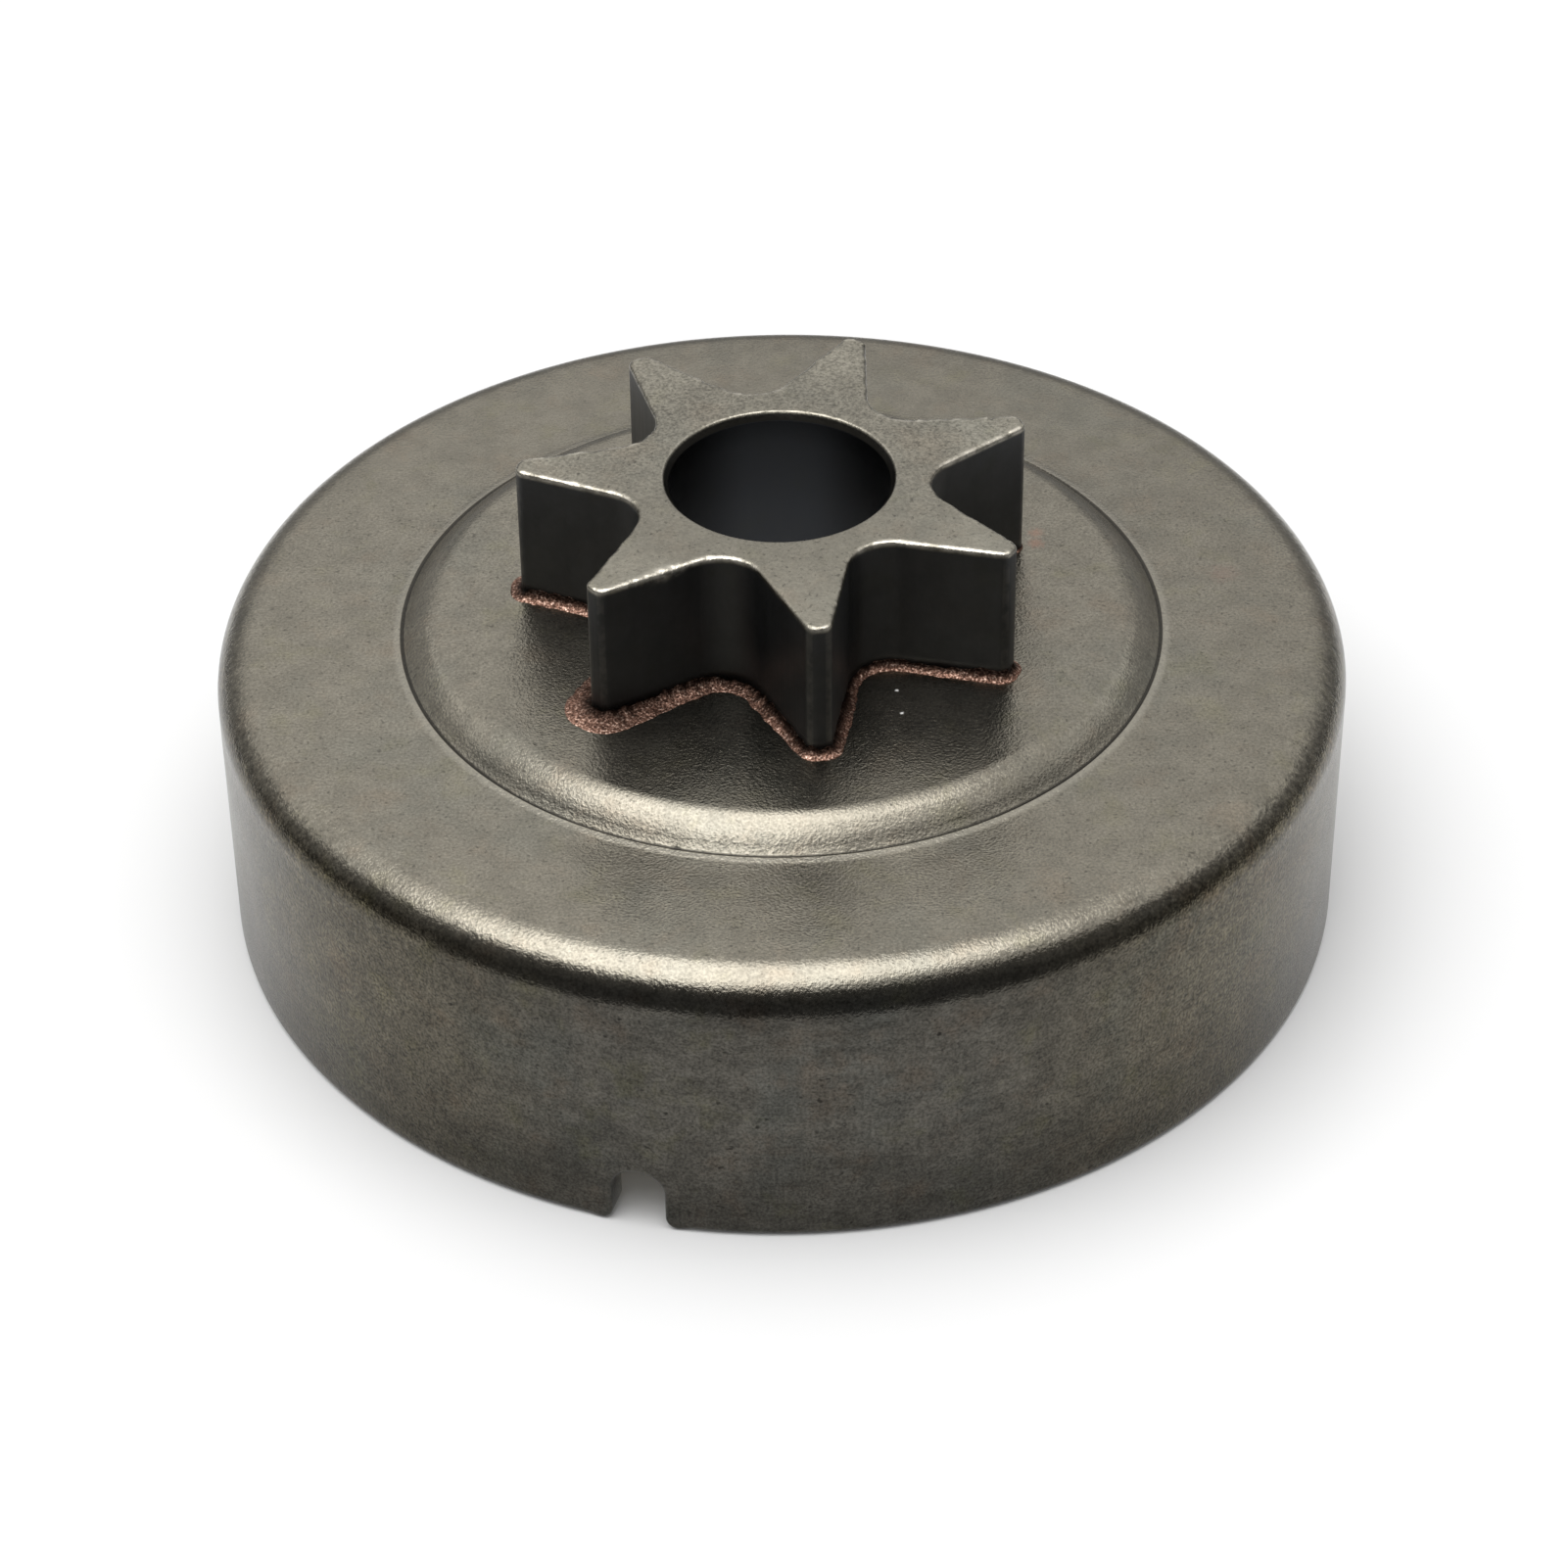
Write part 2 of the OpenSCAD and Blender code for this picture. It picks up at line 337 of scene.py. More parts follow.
def drum_surface(drum):
    """Grid of the drum, and a mask of its inside. Above a level ring it is a rounded section turned about the
    axis: a boss with a bend in its side, a crease, a low lip, a flange that falls a little, a shoulder and a
    wall. Below the ring, the wall is ruled between it and the path of the rim, and a profile with two
    rounded edges is carried along the path from the outer to the inner wall. The mask is 0 outside and 1
    inside, and rises across the rim by a smooth step of the depth into the sheet."""
    path, along, notch_length = rim_path(drum)
    inner_r = drum.radius - drum.sheet
    ceiling = drum.flange - drum.sheet
    recess = drum.boss_top - drum.sheet
    level_ring = 2 * drum.notch_height
    slope = drum.boss_slope
    crease_z = drum.flange + CREASE_SHARE * drum.lip
    bend_z = (drum.boss_top + crease_z) / 2
    bend_r = drum.boss_radius - (bend_z - crease_z) / math.tan(slope)
    top_r = bend_r - (drum.boss_top - bend_z) / math.tan(drum.boss_lean)
    run = drum.boss_radius - top_r
    mouth = drum.boss_radius - drum.sheet * math.tan(slope / 2)
    outside = rounded_section([
        (drum.seat_radius, drum.boss_top, 0, 0),
        (top_r, drum.boss_top, drum.boss_edge, 12),
        (bend_r, bend_z, BEND_RADIUS, 6),
        (drum.boss_radius, crease_z, drum.crease, 4),
        (drum.boss_radius + LIP_TOP, drum.flange + drum.lip, 1.5 * drum.crease, 4),
        (drum.boss_radius + LIP_FOOT, drum.flange + FOOT_SHARE * drum.lip, LIP_FOOT_RADIUS, 3),
        (drum.boss_radius + LIP_END, drum.flange, LIP_END_RADIUS, 2),
        (drum.radius - FALL_START * drum.shoulder, drum.flange, FALL_RADIUS, 4),
        (drum.radius, drum.flange - drum.flange_drop, drum.shoulder, 18),
        (drum.radius, level_ring, 0, 0),
    ], OUTSIDE_SPACING)
    inside = rounded_section([
        (inner_r, level_ring, 0, 0),
        (inner_r, ceiling, drum.shoulder - drum.sheet, 6),
        (mouth, ceiling, drum.press_edge, 5),
        (mouth - run, recess, drum.press_edge, 5),
        (drum.seat_radius, recess, 0, 0),
    ], INSIDE_SPACING)

    extra = along[-1] - path[-1, 0]
    ring_x = along - np.sign(along) * extra * smooth_step(np.abs(along), 0, EVEN_AGAIN * notch_length)
    edge = drum.notch_edge + (drum.rim_edge - drum.notch_edge) * smooth_step(
        np.abs(along), notch_length - drum.notch_corner, notch_length + drum.notch_corner)
    spot, normal = path[:, :2], path[:, 2:]
    inset = spot + edge[:, None] * normal

    def bearing(x):
        return drum.notch_bearing + x / drum.radius

    def ruled(r, shares):
        share = np.asarray(shares)[:, None]
        x = inset[:, 0] + share * (ring_x - inset[:, 0])
        z = inset[:, 1] + share * (level_ring - inset[:, 1])
        return revolved(r, z, bearing(x))

    quarter = np.linspace(0, np.pi / 2, RIM_EDGE_POINTS)[:, None]
    depth = edge * (1 - np.cos(quarter))
    lift = edge * (1 - np.sin(quarter))
    middle = np.linspace(0, 1, RIM_MIDDLE_POINTS + 2)[1:-1, None]
    depth = np.vstack([depth, edge + middle * (drum.sheet - 2 * edge), drum.sheet - depth[::-1]])
    lift = np.vstack([lift, 0 * edge + 0 * middle, lift[::-1]])
    rim = revolved(drum.radius - depth, spot[:, 1] + lift * normal[:, 1],
                   bearing(spot[:, 0] + lift * normal[:, 0]))
    rows = np.linspace(1, 0, WALL_ROWS + 2)[1:-1]
    turned = bearing(ring_x)
    grid = np.vstack([
        revolved(outside[:, :1], outside[:, 1:], turned),
        ruled(drum.radius, rows),
        rim,
        ruled(inner_r, rows[::-1]),
        revolved(inside[:, :1], inside[:, 1:], turned),
    ])
    within = np.zeros(grid.shape[:2])
    first = len(outside) + len(rows)
    within[first:first + len(rim)] = smooth_step(depth / drum.sheet, *INSIDE_SHARES)
    within[first + len(rim):] = 1
    return grid, within


# Star

# Points on half a tooth, before fineness: on its tip, its corner, its flank and its root
TIP_POINTS, CORNER_POINTS, FLANK_POINTS, ROOT_POINTS = 2, 9, 24, 14
# Waves round the outline, and the seed, of each way in which the worn edge wanders
EDGE_SWELL, EDGE_RAGGED, EDGE_NICKS = ((6, 90), 11), ((90, 330), 12), ((30, 260), 13)
SWELL_SWING, RAGGED_SWING, BURR_SWING = 0.25, 0.15, 0.5
NICK_LEVELS = (1.3, 2.2)  # levels of a wander between which a nick deepens
LEAST_EDGE, MOST_EDGE = 0.5, 0.8  # limits of the worn edge, as shares of its mean and of the tip corner
BURR_SPREAD, BURR_EXTRA = 2.6 * MM, 0.1 * MM
RIM_INSET, EDGE_MARGIN = 0.88, 0.03 * MM  # rows beside the worn edge: a share of the tip corner, and a gap
HUB_EDGE, HUB_SPACING = 0.15 * MM, 3 * MM
END_FLAT = 0.5 * MM  # width of the flat ring round the mouth of the bore
WEAR_FADE = 0.42 * MM  # distance over which wear falls to about a third
# Wear on edges facing along X, as a share of that on edges facing the front and the back, whose extra is
# painted highlight; wear at the mouth and on the upright corners
SIDEWAYS_WEAR_AND_HIGHLIGHT, MOUTH_WEAR, CORNER_WEAR = 0.5, 0.55, 0.37
FACING = (0.45, 0.85)  # Y of the normal between which an edge counts as facing the front or the back, and gets painted highlight
MOUTH_FADE, UNWORN_LEAD = 0.6, (0.02 * MM, 0.15 * MM)  # of the mouth's wear, and where the lead-in has none
SHARP = (0.4, 0.9)  # bends, over that of the tip corner, between which an upright corner wears
END_ROWS, EDGE_ROWS, FLANK_ROWS = 8, 7, 13


def star_outline(star, fineness=1):
    """Rows of x, y and outward normal round the star. Half a tooth is an arc at its tip, an arc on its
    corner, a straight flank and an arc at the root of the gap, each tangent to the next. It is mirrored in
    the middle of the tooth, and the tooth is turned about the axis for each place."""
    lean, half_pitch = star.flank_lean, math.pi / star.teeth
    gap_r = star.root_radius + star.root_fillet
    flank_d = gap_r * math.sin(half_pitch + lean) - star.root_fillet
    corner_r = star.tip_radius - star.tip_corner
    corner_at = math.asin((flank_d - star.tip_corner) / corner_r) - lean
    out = np.array([math.sin(lean), math.cos(lean)])
    corner = corner_r * np.array([math.cos(corner_at), math.sin(corner_at)])
    gap = gap_r * np.array([math.cos(half_pitch), math.sin(half_pitch)])
    half = np.vstack([
        arc((0, 0), star.tip_radius, 0, corner_at, TIP_POINTS * fineness + 1)[:-1],
        arc(corner, star.tip_corner, corner_at, math.pi / 2 - lean, CORNER_POINTS * fineness + 1)[:-1],
        straight(corner + star.tip_corner * out, gap - star.root_fillet * out, out,
                 FLANK_POINTS * fineness + 1)[:-1],
        arc(gap, star.root_fillet, 1.5 * math.pi - lean, math.pi + half_pitch,
            ROOT_POINTS * fineness + 1, side=-1),
    ])
    tooth = np.vstack([(half[::-1] * [1, -1, 1, -1])[:-1], half[:-1]])
    at = star.bearing + 2 * half_pitch * np.arange(star.teeth)[:, None]
    cos, sin = np.cos(at), np.sin(at)
    x, y, nx, ny = tooth.T
    return np.stack([cos * x - sin * y, sin * x + cos * y, cos * nx - sin * ny, sin * nx + cos * ny],
                    -1).reshape(-1, 4)


def loop_of(outline):
    """Bearing from 0 to a full turn along a closed outline, by its length."""
    step = np.hypot(*(np.roll(outline[:, :2], -1, 0) - outline[:, :2]).T)
    return 2 * np.pi * (np.cumsum(step) - step) / step.sum()


def distance_to(points, outline):
    """Distance in the plane from each point to the nearest point of an outline."""
    flat = points.reshape(-1, points.shape[-1])[:, :2]
    square = (flat ** 2).sum(1)[:, None] + (outline ** 2).sum(1) - 2 * flat @ outline.T
    return np.sqrt(np.maximum(square.min(1), 0)).reshape(points.shape[:-1])


def star_surface(star, foot):
    """Grid of the star and its hub, and the wear of its edges with painted highlight. The flanks and the worn
    upper edge are a profile carried along the outline, the end of the star is ruled from that edge to the
    mouth of the bore, and the bore and the spigot are turned about the axis. The radius of the worn edge
    wanders, with nicks and a burr. Wear falls off as an exponential of the distance from the upper edge, less
    on edges that face along X, and from the mouth of the bore; the more on edges that face the front and
    the back is painted highlight. It is even along the upright corners of the tips."""
    outline = star_outline(star)
    spot, normal = outline[:, :2], outline[:, 2:]
    loop = loop_of(outline)
    bearing = np.arctan2(spot[:, 1], spot[:, 0])
    nicks = smooth_step(wander(loop, *EDGE_NICKS), *NICK_LEVELS)
    burr_at = star.burr_radius * np.array([math.cos(star.burr_bearing), math.sin(star.burr_bearing)])
    burr = np.exp(-((spot - burr_at) ** 2).sum(1) / BURR_SPREAD ** 2)
    ragged = RAGGED_SWING + BURR_SWING * burr
    swell = 1 + SWELL_SWING * wander(loop, *EDGE_SWELL) + ragged * wander(loop, *EDGE_RAGGED)
    edge = star.worn_edge * (swell + nicks)
    edge = np.clip(edge + BURR_EXTRA * burr, LEAST_EDGE * star.worn_edge, MOST_EDGE * star.tip_corner)

    def carried(inset, z):
        xy = spot - inset[..., None] * normal
        return np.concatenate([xy, np.broadcast_to(z[..., None], xy.shape[:-1] + (1,))], -1)

    mouth_r = star.bore_radius + star.bore_chamfer
    hub = rounded_section([
        (star.spigot_radius, foot, 0, 0),
        (star.spigot_radius, star.end, HUB_EDGE, 3),
        (mouth_r, star.end, HUB_EDGE, 3),
        (star.bore_radius, star.end + star.bore_lead, HUB_EDGE, 2),
        (star.bore_radius, star.top - star.bore_lead, HUB_EDGE, 2),
        (mouth_r, star.top, 1.5 * HUB_EDGE, 5),
        (mouth_r + END_FLAT, star.top, 0, 0),
    ], HUB_SPACING)
    hub_rows = revolved(hub[:, :1], hub[:, 1:], bearing)
    rims = np.stack([np.full_like(edge, RIM_INSET * star.tip_corner), edge + EDGE_MARGIN])
    rim_rows = carried(rims, np.full_like(rims, star.top))
    share = np.sin(np.linspace(0, np.pi / 2, END_ROWS + 2))[1:-1, None, None]
    end_rows = np.concatenate([hub_rows[-1] + share * (rim_rows[0] - hub_rows[-1]), rim_rows])
    quarter = np.linspace(0, np.pi / 2, EDGE_ROWS)[:, None]
    edge_rows = carried(edge * (1 - np.sin(quarter)), star.top - edge * (1 - np.cos(quarter)))
    drop = np.linspace(0, 1, FLANK_ROWS + 1)[1:, None] ** 1.5
    shoulder = star.top - edge
    flank_rows = carried(0 * edge + 0 * drop, shoulder + drop * (foot - shoulder))
    grid = np.vstack([hub_rows, end_rows, edge_rows, flank_rows])

    from_edge = np.hypot(distance_to(grid, spot), np.maximum(star.top - grid[..., 2], 0))
    radius = np.hypot(grid[..., 0], grid[..., 1])
    from_mouth = np.hypot(radius - mouth_r, star.top - grid[..., 2])
    from_mouth += WEAR_FADE * smooth_step(mouth_r - radius, *UNWORN_LEAD)
    # Painted highlight: edges that face the front and the back get more than those facing along X
    facing_wear_and_highlight = SIDEWAYS_WEAR_AND_HIGHLIGHT + (1 - SIDEWAYS_WEAR_AND_HIGHLIGHT) * smooth_step(np.abs(normal[:, 1]), *FACING)
    wear_and_highlight = np.maximum(facing_wear_and_highlight * np.exp(-from_edge / WEAR_FADE),
                      MOUTH_WEAR * np.exp(-from_mouth / (MOUTH_FADE * WEAR_FADE)))
    ahead = np.roll(outline, -1, 0) - outline
    bend = np.hypot(ahead[:, 2], ahead[:, 3]) / np.hypot(ahead[:, 0], ahead[:, 1])
    corner = smooth_step(bend * star.tip_corner, *SHARP)
    corner = sum(np.roll(corner, shift) for shift in range(-2, 3)) / 5
    wear_and_highlight[-len(flank_rows):] = np.maximum(wear_and_highlight[-len(flank_rows):], CORNER_WEAR * corner)
    return grid, np.maximum(wear_and_highlight, burr * np.exp(-from_edge / (2 * WEAR_FADE)))


# Braze

# Waves round the outline, seed and swing of each way in which the reach and the climb wander, and limits
REACH_WANDERS, REACH_LIMITS = (((2, 14), 21, 0.22), ((40, 160), 22, 0.06)), (0.6, 1.6)
CLIMB_WANDERS, CLIMB_LIMITS = (((3, 24), 23, 0.3), ((40, 160), 24, 0.15)), (0.5, 1.7)
BEAD_SEED, RING_SEED = 25, 26
HOLLOW, CROWDED = 1.9, 0.9  # powers of the bead's height across it, and of the places of its rows
TOOTH_SPREAD = 5.5 * MM  # distance over which the copper of one tooth differs
LESS_REACH, LESS_CLIMB, LEAN_REACH = 0.9, 0.85, 0.35  # what the thin and the lean tooth lack
FILM = 0.07 * MM  # thickness of the film that the bead runs out in
SUNK = 0.04 * MM  # how far the braze reaches into the steel behind it
BEAD_ROWS, RING_ROWS, RING_POINTS = 20, 12, 420


def grains(shape, seed, size):
    """Grains between -1 and 1 on a grid that closes both ways: fixed random values, each averaged with its
    neighbours up to size steps away, scaled to a spread of one, cut off at two and halved."""
    field = np.random.default_rng(seed).normal(size=shape)
    for axis in (0, 1):
        field = sum(np.roll(field, k, axis) for k in range(-size, size + 1))
    return np.clip(field / field.std(), -2, 2) / 2


def wandering(loop, wanders, limits):
    """One plus wanders round a loop, each times its swing, kept within limits."""
    return np.clip(sum((swing * wander(loop, waves, seed) for waves, seed, swing in wanders), 1), *limits)


def bead_surface(braze, star, foot):
    """Grid of the bead round the foot of the star. Across it, its height is the climb times a power of what
    is left of its reach, so it is hollow, on a thin film that ends in a blunt edge. Its reach and climb
    wander along the outline, the reach grows in front of one tooth and shrinks at two others by a bell
    curve of the distance, and grains roughen it. Returned with the share of the reach at each point."""
    outline = star_outline(star, fineness=2)
    spot, normal = outline[:, :2], outline[:, 2:]
    loop = loop_of(outline)
    teeth = np.array([braze.run_bearing, braze.thin_bearing, braze.lean_bearing])
    tips = star.tip_radius * np.stack([np.cos(teeth), np.sin(teeth)], 1)
    run, thin, lean = np.exp(-((spot[:, None] - tips) ** 2).sum(2) / TOOTH_SPREAD ** 2).T
    reach = braze.reach * wandering(loop, REACH_WANDERS, REACH_LIMITS)
    reach = reach * (1 - LESS_REACH * thin) * (1 - LEAN_REACH * lean) + braze.run_reach * run
    climb = braze.climb * wandering(loop, CLIMB_WANDERS, CLIMB_LIMITS) * (1 - LESS_CLIMB * thin)
    share = np.linspace(0, 1, BEAD_ROWS)[:, None] ** CROWDED
    out = reach * share
    up = climb * (1 - share) ** HOLLOW + FILM * (1 - share ** 6)
    up = up + braze.grain * grains(up.shape, BEAD_SEED, 1) * (1 - share ** 4)
    out = np.vstack([0 * reach - SUNK, out, 0 * reach - SUNK])
    up = np.vstack([climb, np.maximum(up, 0.2 * FILM * (1 - share ** 8)), 0 * reach])
    up[-2:] = -SUNK
    xy = spot + out[..., None] * normal
    return np.concatenate([xy, foot + up[..., None]], -1), np.clip(out / reach, 0, 1)


def ring_surface(braze, star, recess):
    """Grid of the fillet round the spigot inside the drum: a hollow quarter circle turned about the axis,
    roughened by grains."""
    bearing = np.linspace(0, 2 * np.pi, RING_POINTS, endpoint=False)
    bend = np.linspace(0, np.pi / 2, RING_ROWS)[:, None]
    lump = braze.grain * grains((RING_ROWS, RING_POINTS), RING_SEED, 1)
    r = star.spigot_radius + braze.ring_leg * (1 - np.sin(bend)) + lump * np.sin(bend)
    z = recess - braze.ring_leg * (1 - np.cos(bend)) - lump * np.cos(bend)
    r = np.vstack([r, np.full_like(bearing, star.spigot_radius - SUNK)])
    z = np.vstack([np.minimum(z, recess), np.full_like(bearing, recess + SUNK)])
    return revolved(r, z, bearing)


# Shader nodes

# Noises of the finishes: size of the features, detail, roughness, and the stretch of the axes
SCALE_CLOUD, SCALE_STAIN, SCALE_BLOTCH = (9 * MM, 4, 0.6), (4 * MM, 4, 0.65), (2.2 * MM, 5, 0.65)
SCALE_PEEL, SCALE_FINE, SCALE_DOTS = (0.45 * MM, 3, 0.6), (0.2 * MM, 2, 0.6), (0.3 * MM, 1, 0.5)
WALL_STREAK = (0.7 * MM, 3, 0.6, (1, 1, 0.2))
WALL_LAYER = (1.1 * MM, 5, 0.65, (0.35, 0.35, 1.6))
WALL_PIT = (0.55 * MM, 1, 0.5, (0.7, 0.7, 1.2))
LINING_RUB = (0.5 * MM, 4, 0.6, (0.03, 0.03, 1))
STAR_SCUFF = (1.1 * MM, 5, 0.65)
FLANK_STREAK = (0.5 * MM, 3, 0.6, (1, 1, 0.03))
COPPER_GRAIN, COPPER_CLOUD = (0.17 * MM, 2, 0.6), (2.5 * MM, 3, 0.6)
NOISE_LOW, NOISE_HIGH = 0.3, 0.7  # nearly all of a noise lies between these

# Tints of furnace scale, and how far its specks darken it
BROWN, BLUE, OLIVE = (1.09, 0.98, 0.91), (0.93, 0.99, 1.03), (1.02, 1.03, 0.85)
SPECK_SHADE = -0.45
STEEL_BUMP, COPPER_BUMP = 0.02 * MM, 0.06 * MM


def put(tree, kind, inputs=None, **values):
    """Adds a node, sets its values, and links or sets its inputs."""
    node = tree.nodes.new("ShaderNode" + kind)
    for name, value in values.items():
        setattr(node, name, value)
    for key, value in (inputs or {}).items():
        if isinstance(value, bpy.types.NodeSocket):
            tree.links.new(value, node.inputs[key])
        else:
            node.inputs[key].default_value = value
    return node


def calc(tree, operation, a, b=0.0):
    """Output of a Math node."""
    return put(tree, "Math", {0: a, 1: b}, operation=operation).outputs[0]


def spread(tree, value, low, high, start=0.0, stop=1.0):
    """Output of a Map Range node that runs smoothly from start to stop, and stays there."""
    return put(tree, "MapRange", {0: value, 1: low, 2: high, 3: start, 4: stop},
               interpolation_type="SMOOTHSTEP").outputs[0]


def between(tree, share, start, stop):
    """A number that runs from start to stop as a mask runs from 0 to 1."""
    return spread(tree, share, 0, 1, start, stop)


def varied(tree, value, start, stop):
    """A noise turned into a number that wanders from start to stop."""
    return spread(tree, value, NOISE_LOW, NOISE_HIGH, start, stop)


def product(tree, first, *others):
    """Product of two or more numbers."""
    for other in others:
        first = calc(tree, "MULTIPLY", first, other)
    return first


def raised(tree, value, amount):
    """One plus a value times an amount."""
    return calc(tree, "ADD", product(tree, value, amount), 1.0)


def mixed(tree, share, first, second, blend="MIX"):
    """Colour output of a Mix node."""
    node = put(tree, "Mix", {0: share, 6: first, 7: second}, data_type="RGBA", blend_type=blend)
    return node.outputs[2]


def noise(tree, where, size, detail=2.0, roughness=0.5, stretch=None):
    """Output of a noise whose features are about size across; stretch scales the axes."""
    if stretch:
        where = put(tree, "Mapping", {"Vector": where, "Scale": stretch}).outputs[0]
    return put(tree, "TexNoise", {"Vector": where, "Scale": 1 / size, "Detail": detail,
                                  "Roughness": roughness}).outputs["Fac"]


def rgba(value):
    """A colour with full alpha."""
    return (*value, 1.0)


def make_group(name, inputs, outputs):
    """An empty shader node group with named sockets, and its input and output nodes."""
    group = bpy.data.node_groups.new(name, "ShaderNodeTree")
    for label, kind in inputs:
        group.interface.new_socket(label, in_out="INPUT", socket_type=kind)
    for label, kind in outputs:
        group.interface.new_socket(label, in_out="OUTPUT", socket_type=kind)
    return group, group.nodes.new("NodeGroupInput"), group.nodes.new("NodeGroupOutput")


def furnace_scale():
    """Group for steel that has been through a furnace: patches of brown, blue and olive, mottle, grit and
    dark specks over a base colour, and the peel that breaks up its shine."""
    name = "Furnace scale"
    if name in bpy.data.node_groups:
        return bpy.data.node_groups[name]
    amounts = ("Patches", "Mottle", "Grit", "Specks")
    masks = ("Peel", "Fine", "Cloud")
    group, entry, leave = make_group(
        name,
        [("Colour", "NodeSocketColor")] + [(amount, "NodeSocketFloat") for amount in amounts],
        [("Colour", "NodeSocketColor")] + [(mask, "NodeSocketFloat") for mask in masks])
    where = put(group, "TexCoord").outputs["Object"]
    kinds = (SCALE_CLOUD, SCALE_STAIN, SCALE_BLOTCH, SCALE_PEEL, SCALE_FINE, SCALE_DOTS)
    cloud, stain, blotch, peel, fine, dots = (noise(group, where, *kind) for kind in kinds)
    toned = entry.outputs["Colour"]
    for patch, tint in ((spread(group, stain, 0.52, 0.72), BROWN),
                        (spread(group, cloud, 0.52, 0.32), BLUE),
                        (spread(group, stain, 0.46, 0.28), OLIVE)):
        share = product(group, patch, entry.outputs["Patches"])
        toned = mixed(group, share, toned, rgba(tint), "MULTIPLY")
    shade = 1.0
    for way, amount in ((varied(group, blotch, -1, 1), "Mottle"),
                        (spread(group, fine, 0.25, 0.75, -1, 1), "Grit"),
                        (spread(group, dots, 0.38, 0.24, 0, SPECK_SHADE), "Specks")):
        shade = product(group, shade, raised(group, way, entry.outputs[amount]))
    toned = toned_by(group, toned, shade)
    group.links.new(toned, leave.inputs["Colour"])
    group.links.new(calc(group, "SUBTRACT", peel, 0.5), leave.inputs["Peel"])
    group.links.new(calc(group, "SUBTRACT", fine, 0.5), leave.inputs["Fine"])
    group.links.new(cloud, leave.inputs["Cloud"])
    return group


def bare_material(name):
    """A material with an empty tree, and that tree."""
    material = bpy.data.materials.new(name)
    material.use_nodes = True
    material.node_tree.nodes.clear()
    return material, material.node_tree


def new_metal(name):
    """A metal with a Principled shader, its tree and that shader."""
    material, tree = bare_material(name)
    shader = put(tree, "BsdfPrincipled", {"Metallic": 1.0})
    put(tree, "OutputMaterial", {"Surface": shader.outputs[0]})
    return material, tree, shader


def places(tree):
    """Object coordinates, their axes, and the distance from the axis of the bore."""
    where = put(tree, "TexCoord").outputs["Object"]
    axes = put(tree, "SeparateXYZ", {0: where}).outputs
    flat = put(tree, "CombineXYZ", {0: axes[0], 1: axes[1]}).outputs[0]
    return where, axes, put(tree, "VectorMath", {0: flat}, operation="LENGTH").outputs["Value"]


def scaled(tree, base, **amounts):
    """Outputs of the furnace scale group over a base colour, with its amounts by name."""
    inputs = {name.capitalize(): value for name, value in amounts.items()}
    return put(tree, "Group", {"Colour": base, **inputs}, node_tree=furnace_scale()).outputs


def toned_by(tree, tone, shade):
    """A colour times a number."""
    return put(tree, "VectorMath", {0: tone, "Scale": shade}, operation="SCALE").outputs[0]


def mark(tree, where, place, size):
    """Mask of a small ragged mark: it fades between 0.6 and 1.2 times its size from its place, where noise
    is added to the distance."""
    gap = put(tree, "VectorMath", {0: where, 1: place}, operation="DISTANCE").outputs["Value"]
    ragged = noise(tree, where, max(0.2 * size, 0.15 * MM), 3, 0.6)
    return spread(tree, calc(tree, "ADD", gap, product(tree, ragged, size)), 1.2 * size, 0.6 * size)


def bumped(tree, shader, height, distance):
    """Lets a height break up the shine of a shader."""
    bump = put(tree, "Bump", {"Strength": 1.0, "Distance": distance, "Height": height})
    tree.links.new(bump.outputs[0], shader.inputs["Normal"])


# Shades of the drum, from and to, that its colours are multiplied by; the left, rim and shoulder shades are
# painted shade and the flange shade is painted light, while the streak, layer, pit and rub shades are texture
LEFT_PAINTED_SHADE, STREAK_SHADE, LAYER_SHADE = (0.9, 1.0), (0.94, 1.06), (0.86, 1.14)
PIT_LEVELS, PIT_SHADE = (0.27, 0.20), (1.0, 0.4)
RIM_PAINTED_SHADE, SHOULDER_PAINTED_SHADE = (1.0, 0.7), (1.0, 0.88)
FLANGE_PAINTED_LIGHT, RUB_SHADE = (1.07, 0.93), (0.75, 1.2)
# The slant gain is a painted highlight where the boss slants down at its left and right; the peel gain
# darkens and lightens by the peel
SLANT_PAINTED_HIGHLIGHT, PEEL_GAIN = 0.42, 2.2

# Furnace scale on the flange and on the wall; the wall adds its own grit, less in front than at its sides
DRUM_PATCHES, DRUM_MOTTLE = (0.4, 0.8), (0.10, 0.17)
FLANGE_GRIT, WALL_GRIT, DRUM_SPECKS = 0.2, (0.15, 0.45), 0.8
BACK_SHARE = 0.4  # grit and specks at the back of the drum, as a share of those in front

# Roughness of the drum, what the drawn shoulder adds to it, and heights of peel and grit, off it and on it
DRUM_ROUGHNESS, DRAWN_GLOSS = (0.21, 0.27), -0.04
PEEL_HEIGHT, GRIT_HEIGHT = (0.65, 1.6), (1.6, 1.3)

# Lines at the crease, a painted highlight on the lip and painted shade in the crease: distance outside it,
# half widths where faint and where full, strength, and finish
CREASE_LINES = (
    (0.35 * MM, 0.5 * MM, 0.05 * MM, 0.4, "lip_highlight"),
    (0.05 * MM, 0.17 * MM, 0.07 * MM, 0.9, "dirt_and_shade"),
)
# Stains: x and y, the drum's level, size, strength, and finish
STAINS = (
    ((-6.95 * MM, -25.15 * MM), "flange", 0.6 * MM, 0.95, "dirt_and_shade"),
    ((30.96 * MM, 5.06 * MM), "flange", 2.2 * MM, 0.3, "rust"),
    ((17.95 * MM, 7.60 * MM), "boss_top", 1.1 * MM, 0.45, "copper"),
    ((17.90 * MM, 6.30 * MM), "boss_top", 1.2 * MM, 0.45, "copper"),
)
# Specks of dust on the boss: x and y, and size
DUST_SPECKS = (((7.70 * MM, -10.73 * MM), 0.28 * MM), ((7.96 * MM, -13.25 * MM), 0.3 * MM))


